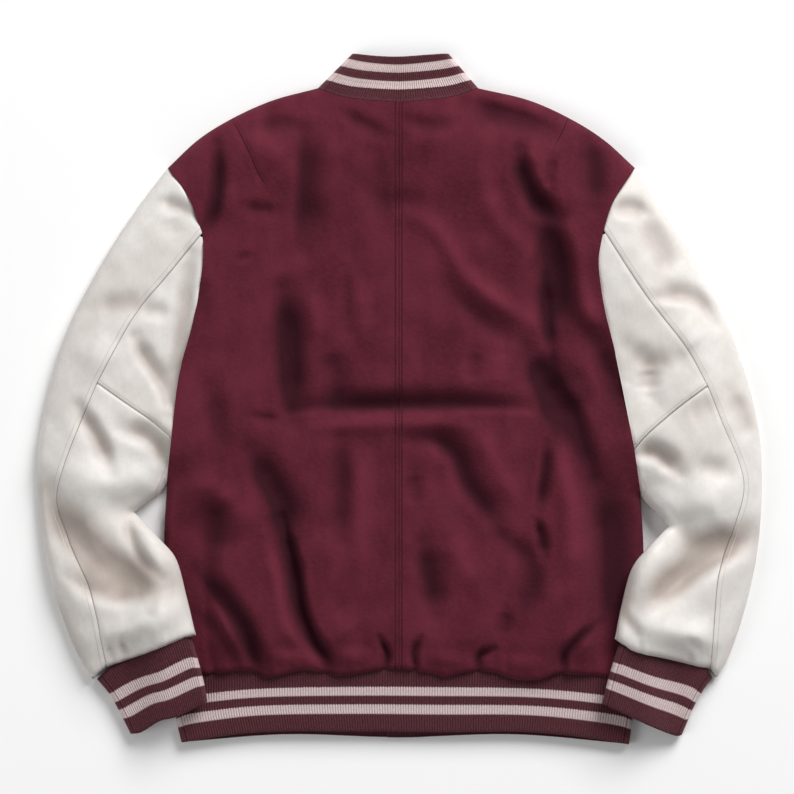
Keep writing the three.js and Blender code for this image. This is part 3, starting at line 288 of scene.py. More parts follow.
SLEEVE_FOLDS = {
    Side.LEFT: (
        Fold(((-249, 204), (-232, 200), (-213, 191)), 8, 6),
        Fold(((-235, 189), (-231, 167)), 13, 2.5),
        Fold(((-216, 149), (-221, 102), (-226, 54), (-235, 9), (-240, -17)), 9, 7),
        Fold(((-315, 94), (-284, 99), (-265, 103)), 12, 5),
        Fold(((-270, 92), (-239, 88)), 9, 3),
        Fold(((-274, 63), (-262, 40), (-248, 19), (-240, -2)), 9, 8, 0.2),
        Fold(((-332, -7), (-318, -29), (-305, -54), (-299, -76)), 10, 9, -0.2),
        Fold(((-288, -32), (-263, -39), (-248, -53), (-245, -76)), 12, 9, 0.2),
        Fold(
            ((-366, -99), (-346, -133), (-320, -161),
             (-291, -181), (-263, -192), (-236, -193)), 22, 15, 0.15,
        ),
        Fold(((-343, -184), (-306, -202), (-272, -205)), 14, 8, 0.3),
        Fold(((-280, -122), (-280, -137), (-269, -161), (-246, -185)), 7, 6),
        Fold(((-363, -203), (-345, -255), (-325, -286)), 13, 7),
        Fold(((-287, -249), (-283, -270)), 5, 5),
        Fold(((-301, -253), (-297, -274)), 5, 4),
        Fold(((-253, -213), (-263, -237), (-270, -251)), 9, 4),
        Fold(((-357, -71), (-315, -85), (-270, -86), (-243, -74)), 18, -6),
        Fold(((-325, 54), (-294, 33)), 18, -4),
        Fold(((-301, -241), (-273, -237), (-246, -227)), 14, -5),
    ),
    Side.RIGHT: (
        Fold(((219, 196), (240, 198), (259, 193)), 9, 6),
        Fold(((253, 188), (263, 169), (274, 149), (271, 126)), 14, 6),
        Fold(((267, 104), (298, 107), (316, 97), (328, 79)), 10, 7, 0.2),
        Fold(((237, 53), (258, 38), (286, 40)), 14, 5.5),
        Fold(((258, 31), (260, 7)), 11, 6),
        Fold(((298, -17), (328, -8)), 14, 3.5),
        Fold(((343, 7), (355, -14), (368, -42)), 11, 4.5),
        Fold(((243, -57), (265, -57), (290, -77)), 11, 10, 0.2),
        Fold(((307, -66), (340, -78)), 12, 4),
        Fold(
            ((371, -141), (344, -153), (313, -171),
             (289, -189), (264, -205), (246, -214)), 18, 14, -0.25,
        ),
        Fold(((281, -147), (319, -147), (349, -135)), 17, 5),
        Fold(((243, -171), (233, -201), (231, -222), (244, -241)), 8, 7),
        Fold(((299, -250), (311, -259)), 5, 3.5),
        Fold(((300, -265), (304, -274)), 4, 4),
        Fold(((325, -275), (319, -286)), 5, 3),
        Fold(((249, -108), (304, -108), (349, -93)), 18, -6),
        Fold(((267, -235), (298, -244), (328, -247)), 15, -6),
        Fold(((289, 79), (313, 55)), 15, -3.5),
    ),
}
DARTS = {
    Side.LEFT: ((-170, 283.4), (-159.6, 262.6), (-152.4, 247), (-147.2, 234.5), (-140.9, 224.1)),
    Side.RIGHT: ((174.2, 289.6), (169.5, 278), (163.8, 266.8)),
}


def mix(low: np.ndarray, high: np.ndarray, share: np.ndarray) -> np.ndarray:
    """Blends two values, or arrays of them, by a share from 0 to 1."""
    return low + (high - low) * share


def smooth(value: np.ndarray) -> np.ndarray:
    """Eases a value from 0 to 1 between 0 and 1, and holds it outside."""
    share = np.clip(value, 0.0, 1.0)
    return share * share * (3.0 - 2.0 * share)


def smooth_line(*runs: Run) -> np.ndarray:
    """Draws a smooth line through the points of one run, or of several joined end to end.

    Args:
        runs: Points as (x, y), each run starting where the one before it ended.

    Returns:
        The line's places as rows of x and y, close together.
    """
    drawn: list[np.ndarray] = []
    for run in runs:
        points = np.array(run, dtype=float)
        ends = np.vstack([2 * points[0] - points[1], points, 2 * points[-1] - points[-2]])
        for before, start, end, after in zip(ends, ends[1:], ends[2:], ends[3:]):
            gaps = [
                max(math.sqrt(math.dist(a, b)), 1e-4)
                for a, b in ((before, start), (start, end), (end, after))
            ]
            leaving = (start - before) / gaps[0] - (end - before) / (gaps[0] + gaps[1])
            arriving = (after - end) / gaps[2] - (after - start) / (gaps[1] + gaps[2])
            leaving = (leaving + (end - start) / gaps[1]) * gaps[1]
            arriving = (arriving + (end - start) / gaps[1]) * gaps[1]
            count = max(2, math.ceil(math.dist(start, end) / LINE_STEP))
            t = np.linspace(0.0, 1.0, count + 1)[:, None]
            part = (2 * t**3 - 3 * t**2 + 1) * start + (t**3 - 2 * t**2 + t) * leaving
            part += (3 * t**2 - 2 * t**3) * end + (t**3 - t**2) * arriving
            drawn.append(part if not drawn else part[1:])
    return np.vstack(drawn)


def travelled(places: np.ndarray) -> np.ndarray:
    """Measures how far along a line each of its places is, in millimetres."""
    steps = np.linalg.norm(np.diff(places, axis=0), axis=1)
    return np.concatenate([[0.0], np.cumsum(steps)])


def along(line: np.ndarray, shares: np.ndarray) -> np.ndarray:
    """Finds the places at shares of a line's length."""
    distance = travelled(line)
    wanted = np.asarray(shares) * distance[-1]
    return np.column_stack([np.interp(wanted, distance, line[:, axis]) for axis in (0, 1)])


def stations(length: float, spacing: float, start: bool = False, end: bool = False,
             count: int | None = None) -> np.ndarray:
    """Divides an edge evenly, and more closely where the cloth rolls over at an end.

    Args:
        length: The edge's length.
        spacing: The even spacing wanted, where no count is given.
        start: Whether the edge starts at a turned-over outline.
        end: Whether it ends at one.
        count: How many stations there have to be in all.

    Returns:
        The stations as shares of the length.
    """
    rolled = np.array(ROLL_STEPS[:-1])
    low = ROLL_STEPS[-1] if start else 0.0
    high = length - ROLL_STEPS[-1] if end else length
    taken = len(rolled) * (int(start) + int(end))
    middle = count - taken if count else max(2, math.ceil((high - low) / spacing) + 1)
    parts = [np.linspace(low, high, middle)]
    if start:
        parts.insert(0, rolled)
    if end:
        parts.append(length - rolled[::-1])
    return np.concatenate(parts) / length


def joined(*runs: np.ndarray) -> np.ndarray:
    """Joins lines end to end, keeping each shared place once."""
    return np.vstack([run if order == 0 else run[1:] for order, run in enumerate(runs)])


def coons(top: np.ndarray, bottom: np.ndarray, left: np.ndarray, right: np.ndarray,
          left_reach: float | None = None) -> np.ndarray:
    """Fills the inside of four edges with a grid of places.

    Args:
        top: Places from left to right.
        bottom: As many places from left to right.
        left: Places from top to bottom.
        right: As many places from top to bottom.
        left_reach: The share of the way across at which the left edge's curve has faded out.

    Returns:
        The places, as rows, columns and then x and y.
    """
    rows, columns = len(left), len(top)
    shares = [travelled(edge) / travelled(edge)[-1] for edge in (top, bottom, left, right)]
    down = np.repeat(np.linspace(0, 1, rows)[:, None], columns, axis=1)
    across = np.repeat(np.linspace(0, 1, columns)[None, :], rows, axis=0)
    for _ in range(2):
        across = mix(shares[0][None, :], shares[1][None, :], down)
        down = mix(shares[2][:, None], shares[3][:, None], across)
    u, v = across[..., None], down[..., None]
    from_left = smooth(1 - u / left_reach) if left_reach else 1 - u
    grid = top[None] * (1 - v) + bottom[None] * v
    grid = grid + from_left * (left[:, None] - top[0] * (1 - v) - bottom[0] * v)
    grid = grid + u * (right[:, None] - top[-1] * (1 - v) - bottom[-1] * v)
    grid[0], grid[-1] = top, bottom
    grid[1:-1, 0], grid[1:-1, -1] = left[1:-1], right[1:-1]
    return grid


def nearest(places: np.ndarray, line: np.ndarray) -> tuple[np.ndarray, np.ndarray, np.ndarray]:
    """Finds how far places are from a line.

    Args:
        places: Any array of places whose last axis is x and y.
        line: The line's places, in rows.

    Returns:
        The distance, the way travelled along the line to the nearest place on it, and the
        side it is on: above zero to the line's left.
    """
    flat = places.reshape(-1, 2)
    best = np.full(len(flat), np.inf)
    step = np.zeros(len(flat), dtype=int)
    share = np.zeros(len(flat))
    for number, (start, run) in enumerate(zip(line, np.diff(line, axis=0))):
        offset = flat - start
        found = np.clip(offset @ run / (run @ run), 0.0, 1.0)
        distance = np.hypot(offset[:, 0] - found * run[0], offset[:, 1] - found * run[1])
        closer = distance < best
        best[closer], step[closer], share[closer] = distance[closer], number, found[closer]
    way = np.interp(step + share, np.arange(len(line)), travelled(line))
    ahead = np.diff(line, axis=0)
    ahead /= np.linalg.norm(ahead, axis=1)[:, None]
    ahead = np.vstack([ahead[:1], (ahead[1:] + ahead[:-1]) / 2, ahead[-1:]])
    here = mix(ahead[step], ahead[step + 1], share[:, None])
    foot = mix(line[step], line[step + 1], share[:, None])
    offset = flat - foot
    side = here[:, 0] * offset[:, 1] - here[:, 1] * offset[:, 0]
    shape = places.shape[:-1]
    return best.reshape(shape), way.reshape(shape), side.reshape(shape)


def fold_height(places: np.ndarray, folds: tuple[Fold, ...]) -> np.ndarray:
    """Adds up what folds do to the cloth's height.

    Args:
        places: An array of places whose last axis is x and y.
        folds: The folds, each soft across, with a low shoulder on each side, fading at its ends.

    Returns:
        The height that they add at each place.
    """
    height = np.zeros(places.shape[:-1])
    for fold in folds:
        line = smooth_line(fold.path)
        reach = 4.2 * fold.width
        low, high = line.min(axis=0) - reach, line.max(axis=0) + reach
        near = np.all((places > low) & (places < high), axis=-1)
        if not near.any():
            continue
        distance, way, side = nearest(places[near], line)
        length = travelled(line)[-1]
        fade = 0.35 + 0.65 * smooth(np.minimum(way, length - way) / (0.3 * length))
        width = fold.width * (1 + fold.lean * side / np.maximum(distance, 0.01))
        across = (distance / (width * mix(0.7, 1.0, fade))) ** 2
        height[near] -= fold.depth * fade * (1.18 * np.exp(-across) - 0.22 * np.exp(-across / 4))
    return height


@dataclass(frozen=True)
class Unevenness:
    """A soft random swell over the cloth, the same on each run."""

    height: float
    longest: float
    shortest: float
    seed: int

    def at(self, places: np.ndarray) -> np.ndarray:
        """Returns the swell's height at each place."""
        rng = np.random.default_rng(self.seed)
        waves = 26
        total = np.zeros(places.shape[:-1])
        for _ in range(waves):
            wavelength = rng.uniform(self.shortest, self.longest)
            heading = rng.uniform(0, 2 * math.pi)
            phase = rng.uniform(0, 2 * math.pi)
            way = places[..., 0] * math.cos(heading) + places[..., 1] * math.sin(heading)
            total += np.sin(2 * math.pi * way / wavelength + phase)
        return total * self.height / math.sqrt(waves)


class Turn:
    """An outline where the cloth turns over from one layer to the other."""

    def __init__(self, inward: int, *runs: Run) -> None:
        """Draws the outline.

        Args:
            inward: 1 where the jacket is to the left of the way the runs go, or else -1.
            runs: The runs of points, joined end to end.
        """
        self.inward = inward
        self.line = smooth_line(*runs)

    def depth(self, places: np.ndarray) -> np.ndarray:
        """Returns how far inside the outline each place is, or 0 outside it."""
        distance, _, side = nearest(places, self.line)
        return np.where(side * self.inward > 0, distance, 0.0)


def backwards(run: Run) -> Run:
    """Turns a run of points round."""
    return tuple(reversed(run))


@dataclass(frozen=True)
class Lay:
    """How the jacket lies: its rolled edges, its swell of air, its folds and what presses it."""

    edge_radius: float = 8.0
    dome_height: float = 22.0
    dome_reach: float = 65.0
    centre_sink: float = 9.0
    sink_reach: float = 90.0
    crease_ease: float = 0.5
    crease_reach: float = 18.0
    proud_edge: float = 1.2
    proud_reach: float = 12.0
    hem_rise: float = 2.4
    hem_reach: float = 30.0
    hem_fullness: float = 0.28
    hem_over: float = 42.0
    hem_tuck: float = 8.0
    cuff_rise: float = 1.2
    cuff_reach: float = 25.0
    cuff_fullness: float = 0.42
    cuff_over: float = 32.0
    cuff_tuck: float = 6.0
    tuck_reach: float = 8.0
    sleeve_lift: float = 21.5
    lift_reach: float = 45.0
    lift_from: float = -100.0
    lift_over: float = 38.0
    press: float = 0.8
    press_width: float = 40.0
    press_fade: float = 25.0
    collar_from: float = 250.0
    collar_over: float = 110.0
    collar_ease: float = 0.6

    def level(self, depth: np.ndarray) -> np.ndarray:
        """Returns how far the cloth has rolled over to level, by its depth inside the outline."""
        lean = np.clip(1 - depth / self.edge_radius, 0.0, 1.0)
        return np.sqrt(1 - lean * lean)

    def dome(self, depth: np.ndarray) -> np.ndarray:
        """Returns the swell of the air inside, by the depth inside the outline."""
        rise = 1 - np.minimum(depth / self.dome_reach, 1.0)
        sink = self.centre_sink * smooth((depth - self.dome_reach) / self.sink_reach)
        return self.dome_height * (1 - rise * rise) - sink

    def crease_share(self, depth: np.ndarray) -> np.ndarray:
        """Returns how much of their depth the folds keep, which is less at a rolled edge."""
        return mix(self.crease_ease, 1.0, smooth(depth / self.crease_reach))

    def tucked(self, distance: np.ndarray, drop: float) -> np.ndarray:
        """Returns how far the cloth has turned down at a gathered edge."""
        lean = np.clip(1 - distance / self.tuck_reach, 0.0, 1.0)
        return drop * (1 - np.sqrt(1 - lean * lean))

    def above_hem(self, places: np.ndarray) -> np.ndarray:
        """Returns how far each place is above the back's hem seam."""
        right, left = (smooth_line(HALVES[side].hem_seam) for side in (Side.RIGHT, Side.LEFT))
        seam = np.vstack([left, right[::-1]])
        return places[..., 1] - np.interp(places[..., 0], seam[:, 0], seam[:, 1])

    def beyond_side(self, places: np.ndarray, half: HalfOutline) -> np.ndarray:
        """Returns how far inside the body's side seam each place is."""
        side = smooth_line(half.side)[::-1]
        return (places[..., 0] - np.interp(places[..., 1], side[:, 1], side[:, 0])) * half.inward

    def lift(self, places: np.ndarray, half: HalfOutline) -> np.ndarray:
        """Returns how far the sleeve is raised where it lies on the body's side."""
        reached = smooth(self.beyond_side(places, half) / self.lift_reach + 1)
        return self.sleeve_lift * reached * smooth(
            (self.lift_from - places[..., 1]) / self.lift_over
        )

    def body_top(self, places: np.ndarray) -> np.ndarray:
        """Returns the height of the back's outer face."""
        depth = np.minimum.reduce([turn.depth(places) for turn in BODY_TURNS])
        y = places[..., 1]
        pressed = np.zeros(y.shape)
        armhole = np.full(y.shape, np.inf)
        for half in HALVES.values():
            inside = self.beyond_side(places, half)
            covered = 1 - smooth((inside - self.press_width) / self.press_fade)
            pressed = np.maximum(pressed, self.press * covered)
            seam = smooth_line(half.armhole_top, half.armhole_middle, half.armhole_low)
            armhole = np.minimum(armhole, nearest(places, seam)[0])
        pressed = pressed * smooth((self.lift_from - y) / self.lift_over)
        above = self.above_hem(places)
        at_hem = mix(self.hem_fullness, 1.0, smooth(above / self.hem_over))
        at_neck = 1 - self.collar_ease * smooth((y - self.collar_from) / self.collar_over)
        proud = self.proud_edge * (1 - smooth(armhole / self.proud_reach))
        blouse = self.hem_rise * (1 - smooth(above / self.hem_reach))
        gathered = smooth(0.55 + above / 40)
        folds = fold_height(places, BACK_FOLDS) * self.crease_share(depth) + BACK_SWELL.at(places)
        rise = self.dome(depth) * (1 - pressed) * at_hem * at_neck + proud + blouse
        rise += folds * (1 - pressed) * gathered + HEM_GATHERS.at(places, above)
        level = self.level(depth)
        return self.edge_radius + level * (self.edge_radius + rise) - self.tucked(
            above, self.hem_tuck
        )

    def sleeve_top(self, places: np.ndarray, side: Side) -> np.ndarray:
        """Returns the height of a sleeve's outer face where it shows."""
        half = HALVES[side]
        depth = np.minimum.reduce([turn.depth(places) for turn in sleeve_turns(side)])
        cuff = smooth_line(half.cuff_seam_outer, half.cuff_seam_inner)
        above = nearest(places, cuff)[0]
        at_cuff = mix(self.cuff_fullness, 1.0, smooth(above / self.cuff_over))
        blouse = self.cuff_rise * (1 - smooth(above / self.cuff_reach))
        creases = fold_height(places, SLEEVE_FOLDS[side]) * self.crease_share(depth)
        creases = (creases + SLEEVE_SWELL.at(places)) * smooth(0.45 + above / 40) + CUFF_GATHERS.at(places, above)
        rise = self.dome(depth) * at_cuff + blouse + creases
        seams = SEAM_DIP.at(places, sleeve_seams(half))
        level = self.level(depth)
        top = self.edge_radius + level * (self.edge_radius + rise + seams)
        return top + self.lift(places, half) - self.tucked(above, self.cuff_tuck)

    def underside(self, places: np.ndarray, turns: list[Turn], lift: np.ndarray) -> np.ndarray:
        """Returns the height of the face that lies on the surface."""
        depth = np.minimum.reduce([turn.depth(places) for turn in turns])
        return self.edge_radius * (1 - self.level(depth)) + lift


@dataclass(frozen=True)
class Gathers:
    """Small uneven puckers that run up from a gathered edge and fade."""

    height: float
    pitch: float
    reach: float
    seed: int

    def at(self, places: np.ndarray, above: np.ndarray) -> np.ndarray:
        """Returns the puckers' height, by the places and their distance from the edge."""
        rng = np.random.default_rng(self.seed)
        x = places[..., 0] + 0.15 * places[..., 1]
        total = np.zeros(x.shape)
        for scale in (1.0, 0.62, 1.7):
            phase = rng.uniform(0, 2 * math.pi)
            drift = rng.uniform(0, 2 * math.pi)
            strength = 0.5 + 0.5 * np.sin(2 * math.pi * x / (self.pitch * 6.3 * scale) + drift)
            total += strength * np.sin(2 * math.pi * x / (self.pitch * scale) + phase)
        return self.height * total * np.exp(-np.maximum(above, 0) / self.reach)


@dataclass(frozen=True)
class SeamDip:
    """How far the cloth is drawn down along its seams."""

    depth: float
    width: float

    def at(self, places: np.ndarray, seams: list[np.ndarray]) -> np.ndarray:
        """Returns the dip along the seams, which is below zero."""
        distance = np.minimum.reduce([nearest(places, seam)[0] for seam in seams])
        return -self.depth * np.exp(-((distance / self.width) ** 2))


BACK_SWELL = Unevenness(height=0.95, longest=100, shortest=30, seed=7)
SLEEVE_SWELL = Unevenness(height=0.45, longest=80, shortest=22, seed=11)
HEM_GATHERS = Gathers(height=0.7, pitch=19, reach=22, seed=3)
CUFF_GATHERS = Gathers(height=0.45, pitch=14, reach=16, seed=5)
SEAM_DIP = SeamDip(depth=0.8, width=2.6)
LAY = Lay()
BODY_TURNS = [
    turn
    for half in HALVES.values()
    for turn in (
        Turn(half.inward, half.collar_side, half.shoulder, half.outer),
        Turn(half.inward, backwards(half.inner_upper), half.side),
    )
]


def sleeve_turns(side: Side) -> list[Turn]:
    """Draws the outlines where a sleeve turns over."""
    half = HALVES[side]
    return [
        Turn(half.inward, half.collar_side, half.shoulder, half.outer),
        Turn(half.inward, backwards(half.inner_lower), backwards(half.inner_upper),
             half.side[:2]),
    ]


def sleeve_seams(half: HalfOutline) -> list[np.ndarray]:
    """Draws the seams that cross a sleeve where it shows."""
    return [
        smooth_line(half.back_seam_upper, half.back_seam_lower),
        smooth_line(half.elbow),
        smooth_line(half.armhole_top, half.armhole_middle, half.armhole_low),
    ]


class Finish:
    """A procedural material, made of nodes once and shared by its pieces."""

    name = "finish"
    slot = "wool"

    def __init__(self) -> None:
        """Starts the material with its shader."""
        self.made = bpy.data.materials.new(self.name)
        self.made.use_nodes = True
        self.nodes = self.made.node_tree.nodes
        self.links = self.made.node_tree.links
        self.shader = self.nodes["Principled BSDF"]
        self.place = self.add("ShaderNodeTexCoord").outputs["Object"]
        self.build()

    def build(self) -> None:
        """Makes the nodes. Each finish has its own."""

    def add(self, kind: str, **values: object) -> bpy.types.Node:
        """Adds a node and sets its own properties."""
        node = self.nodes.new(kind)
        for name, value in values.items():
            setattr(node, name, value)
        return node

    def noise(self, size: float, detail: float = 2.0, rough: float = 0.5,
              stretch: tuple[float, float, float] = (1, 1, 1)) -> bpy.types.NodeSocket:
        """Adds noise on the piece's own place.

        Args:
            size: The size of its blotches, in millimetres.
            detail: How many finer octaves it has.
            rough: How strong they are.
            stretch: How the place is stretched first, along each axis.

        Returns:
            The noise, from 0 to 1.
        """
        mapping = self.add("ShaderNodeMapping")
        mapping.inputs["Scale"].default_value = stretch
        self.links.new(self.place, mapping.inputs["Vector"])
        node = self.add("ShaderNodeTexNoise")
        node.inputs["Scale"].default_value = 1 / (size * MM)
        node.inputs["Detail"].default_value = detail
        node.inputs["Roughness"].default_value = rough
        self.links.new(mapping.outputs["Vector"], node.inputs["Vector"])
        return node.outputs["Fac"]

    def math(self, operation: str, *values: object) -> bpy.types.NodeSocket:
        """Adds a sum on sockets or numbers, and returns its result."""
        node = self.add("ShaderNodeMath", operation=operation)
        for number, value in enumerate(values):
            if isinstance(value, (int, float)):
                node.inputs[number].default_value = value
            else:
                self.links.new(value, node.inputs[number])
        return node.outputs["Value"]

    def span(self, value: bpy.types.NodeSocket, low: float, high: float,
             to_low: float = 0.0, to_high: float = 1.0) -> bpy.types.NodeSocket:
        """Maps a range of a value onto another, smoothly and clamped."""
        node = self.add("ShaderNodeMapRange", interpolation_type="SMOOTHSTEP")
        for name, number in (("From Min", low), ("From Max", high), ("To Min", to_low),
                             ("To Max", to_high)):
            node.inputs[name].default_value = number
        self.links.new(value, node.inputs["Value"])
        return node.outputs["Result"]

    def blend(self, share: object, low: object, high: object,
              kind: str = "MIX") -> bpy.types.NodeSocket:
        """Blends two colours by a share, each given as a socket or a colour."""
        node = self.add("ShaderNodeMix", data_type="RGBA", blend_type=kind)
        for name, value in ((0, share), (6, low), (7, high)):
            if isinstance(value, (tuple, int, float)):
                node.inputs[name].default_value = value
            else:
                self.links.new(value, node.inputs[name])
        return node.outputs[2]

    def mark(self, name: str) -> bpy.types.NodeSocket:
        """Reads a number that the piece's mesh carries at each place."""
        return self.add("ShaderNodeAttribute", attribute_name=name).outputs["Fac"]

    def shade(self, trough: float, crest: float) -> tuple[bpy.types.NodeSocket, ...]:
        """Returns the shares of painted shade in the cloth's troughs and of painted highlight on its crests."""
        hollow = self.mark("hollow")
        return tuple(
            self.math("MULTIPLY", self.math("MAXIMUM", self.math("MULTIPLY", hollow, way), 0.0), most)
            for way, most in ((1.0, trough), (-1.0, crest))
        )

    def line(self, name: str, width: float) -> bpy.types.NodeSocket:
        """Returns 0 on a sewn line that the mesh carries the distance to, and 1 away from it."""
        return self.span(self.math("ABSOLUTE", self.mark(name)), 0.0, width)

    def bump(self, *reliefs: tuple[bpy.types.NodeSocket, float]) -> None:
        """Gives the shader relief from heights, each with its depth in millimetres."""
        normal = None
        for height, depth in reliefs:
            node = self.add("ShaderNodeBump")
            node.inputs["Distance"].default_value = depth * MM
            self.links.new(height, node.inputs["Height"])
            if normal is not None:
                self.links.new(normal, node.inputs["Normal"])
            normal = node.outputs["Normal"]
        self.links.new(normal, self.shader.inputs["Normal"])

    def set(self, **values: object) -> None:
        """Sets the shader's own sockets, with underscores for the spaces in their names."""
        for name, value in values.items():
            socket = self.shader.inputs[name.replace("_", " ")]
            if isinstance(value, bpy.types.NodeSocket):
                self.links.new(value, socket)
            else:
                socket.default_value = value


def rgb(red: float, green: float, blue: float) -> tuple[float, float, float, float]:
    """Turns a colour read off a screen, from 0 to 255, into the light that it stands for."""
    def light(value: float) -> float:
        share = value / 255
        return share / 12.92 if share <= 0.04045 else ((share + 0.055) / 1.055) ** 2.4
    return (light(red), light(green), light(blue), 1.0)


class MeltonWool(Finish):
    """Thick felted wool with a short nap that lies in soft patches."""

    name = "melton_wool"
    slot = "wool"

    def build(self) -> None:
        """Makes the nap's mottle, its loose fibres and the stitched grooves."""
        patches = self.span(self.noise(40, 4, 0.6, (1.0, 0.45, 1.0)), 0.3, 0.7)
        clumps = self.span(self.noise(4.5, 4, 0.62), 0.36, 0.66)
        nap = self.noise(0.9, 3, 0.7, (1.0, 0.55, 1.0))
        fibres = self.span(self.noise(1.6, 2, 0.6, (2.6, 0.8, 1.0)), 0.6, 0.78)
        colour = self.blend(patches, rgb(79, 27, 39), rgb(97, 36, 50))
        colour = self.blend(self.math("MULTIPLY", clumps, 0.3), colour, rgb(98, 39, 54))
        colour = self.blend(self.math("MULTIPLY", fibres, 0.3), colour, rgb(124, 64, 78))
        # Painted shade darkens the folds' troughs and painted highlight lightens their crests.
        trough, crest = self.shade(0.78, 0.8)
        colour = self.blend(trough, colour, rgb(40, 14, 22))
        colour = self.blend(crest, colour, rgb(118, 46, 63))
        seam = self.line("seam", 0.7)
        row = self.line("row", 1.2)
        colour = self.blend(seam, rgb(50, 17, 26), colour)
        colour = self.blend(row, rgb(66, 23, 34), colour)
        self.set(Base_Color=colour, Roughness=0.95, Specular_IOR_Level=0.1,
                 Sheen_Weight=0.12, Sheen_Roughness=0.5, Sheen_Tint=rgb(200, 130, 145))
        self.bump((seam, 0.5), (row, 0.6), (clumps, 0.22), (nap, 0.24))


class CreamLeather(Finish):
    """Smooth off-white leather with a fine grain, faint wear, and painted shade and highlight on its folds."""

    name = "cream_leather"
    slot = "leather"

    def build(self) -> None:
        """Makes the grain, the faint clouding and the stitched grooves."""
        cloud = self.span(self.noise(55, 3, 0.5), 0.35, 0.68)
        mottle = self.span(self.noise(7, 3, 0.6), 0.3, 0.72)
        cell = self.add("ShaderNodeTexVoronoi", feature="DISTANCE_TO_EDGE")
        cell.inputs["Scale"].default_value = 1 / (1.5 * MM)
        self.links.new(self.place, cell.inputs["Vector"])
        grain = self.span(cell.outputs["Distance"], 0.0, 0.22)
        fine = self.noise(1.1, 3, 0.6)
        wrinkle = self.span(self.noise(5.5, 3, 0.55, (1.0, 0.45, 1.0)), 0.42, 0.6)
        colour = self.blend(cloud, rgb(219, 213, 208), rgb(230, 226, 222))
        colour = self.blend(self.math("MULTIPLY", mottle, 0.25), colour, rgb(205, 197, 190))
        # Painted shade darkens the folds' troughs and painted highlight lightens their crests.
        trough, crest = self.shade(0.72, 0.5)
        colour = self.blend(trough, colour, rgb(148, 131, 120))
        colour = self.blend(crest, colour, rgb(240, 238, 235))
        seam = self.line("seam", 0.4)
        row = self.line("row", 0.7)
        colour = self.blend(seam, rgb(146, 134, 125), colour)
        colour = self.blend(row, rgb(205, 196, 188), colour)
        rough = self.span(self.noise(9, 3, 0.6), 0.3, 0.7, 0.46, 0.6)
        self.set(Base_Color=colour, Roughness=rough, Specular_IOR_Level=0.32)
        self.bump((seam, 0.12), (row, 0.15), (wrinkle, 0.06), (grain, 0.03), (fine, 0.03))


@dataclass(frozen=True)
class Stripe:
    """A pale stripe across a band, by its edges' shares of the way down at mid-width and ends."""

    low: float
    high: float
    end_low: float
    end_high: float


class StripedRib(Finish):
    """Maroon rib knit with pale stripes, each band with its own."""

    slot = "rib_knit"

    def __init__(self, name: str, stripes: tuple[Stripe, ...], tucked: float) -> None:
        """Starts the finish for one band.

        Args:
            name: The material's name.
            stripes: The band's stripes.
            tucked: The share of the way down that the cloth above keeps from the light.
        """
        self.name = name
        self.stripes = stripes
        self.tucked = tucked
        super().__init__()

    def build(self) -> None:
        """Makes the stripes, the shaded valleys between the ribs and the knit's stitches."""
        rib = self.mark("rib")
        down = self.mark("down")
        ends = self.mark("ends")
        yarn = self.noise(1.3, 3, 0.7, (1.0, 0.6, 1.0))
        step = self.math("MULTIPLY", self.math("SUBTRACT", rib, 0.5), 0.012)
        ragged = self.math("MULTIPLY", self.math("SUBTRACT", yarn, 0.5), 0.02)
        down = self.math("ADD", down, self.math("ADD", step, ragged))
        pale = None
        for stripe in self.stripes:
            low = self.math("MULTIPLY_ADD", ends, stripe.end_low - stripe.low, stripe.low)
            high = self.math("MULTIPLY_ADD", ends, stripe.end_high - stripe.high, stripe.high)
            above = self.math("MULTIPLY_ADD", self.math("SUBTRACT", down, low), 60, 0.5)
            below = self.math("MULTIPLY_ADD", self.math("SUBTRACT", high, down), 60, 0.5)
            inside = self.add("ShaderNodeClamp")
            self.links.new(self.math("MINIMUM", above, below), inside.inputs["Value"])
            found = inside.outputs["Result"]
            pale = found if pale is None else self.math("MAXIMUM", pale, found)
        dark = self.blend(self.span(yarn, 0.35, 0.7), rgb(74, 36, 43), rgb(96, 52, 60))
        light = self.blend(self.span(yarn, 0.35, 0.7), rgb(196, 178, 177), rgb(214, 198, 197))
        # Painted shade in the valleys between the ribs.
        valley = self.span(rib, 0.05, 0.62)
        dark = self.blend(valley, rgb(44, 18, 23), dark)
        light = self.blend(valley, rgb(150, 122, 124), light)
        colour = self.blend(pale, dark, light) if pale is not None else dark
        # Painted shadow of the cloth above, along the band's seam.
        shade = self.span(self.mark("down"), -0.01, self.tucked)
        colour = self.blend(shade, rgb(30, 11, 15), colour)
        knit = self.mark("course")
        self.set(Base_Color=colour, Roughness=0.9, Specular_IOR_Level=0.15,
                 Sheen_Weight=0.2, Sheen_Roughness=0.5, Sheen_Tint=rgb(215, 185, 188))
        self.bump((knit, 0.25), (yarn, 0.2))


class SewingThread(Finish):
    """Twisted polyester thread in one colour."""

    slot = "wool"

    def __init__(self, name: str, slot: str, dark: tuple, light: tuple) -> None:
        """Starts the finish for one thread.

        Args:
            name: The material's name.
            slot: The record's slot of the cloth that it sews; not used.
            dark: The thread's colour in the painted shade of its twist.
            light: Its colour where it catches the light.
        """
        self.name, self.slot = name, slot
        self.dark, self.light = dark, light
        super().__init__()

    def build(self) -> None:
        """Makes the thread's twist."""
        twist = self.noise(0.5, 2, 0.6)
        # The twist is painted: shade in it and highlight where it catches the light.
        self.set(Base_Color=self.blend(twist, self.dark, self.light), Roughness=0.6,
                 Specular_IOR_Level=0.3)
        self.bump((twist, 0.05))


class SnapMetal(Finish):
    """Brushed metal of the front's snaps."""

    name = "brushed_snap"
    slot = "snap_metal"

    def build(self) -> None:
        """Makes the brushed lines and the dulled patches."""
        brushed = self.noise(0.35, 2, 0.6, (1.0, 9.0, 1.0))
        worn = self.span(self.noise(3.0, 3, 0.6), 0.3, 0.7, 0.28, 0.46)
        colour = self.blend(brushed, rgb(150, 148, 146), rgb(186, 184, 182))
        self.set(Base_Color=colour, Metallic=1.0, Roughness=worn)
        self.bump((brushed, 0.03))


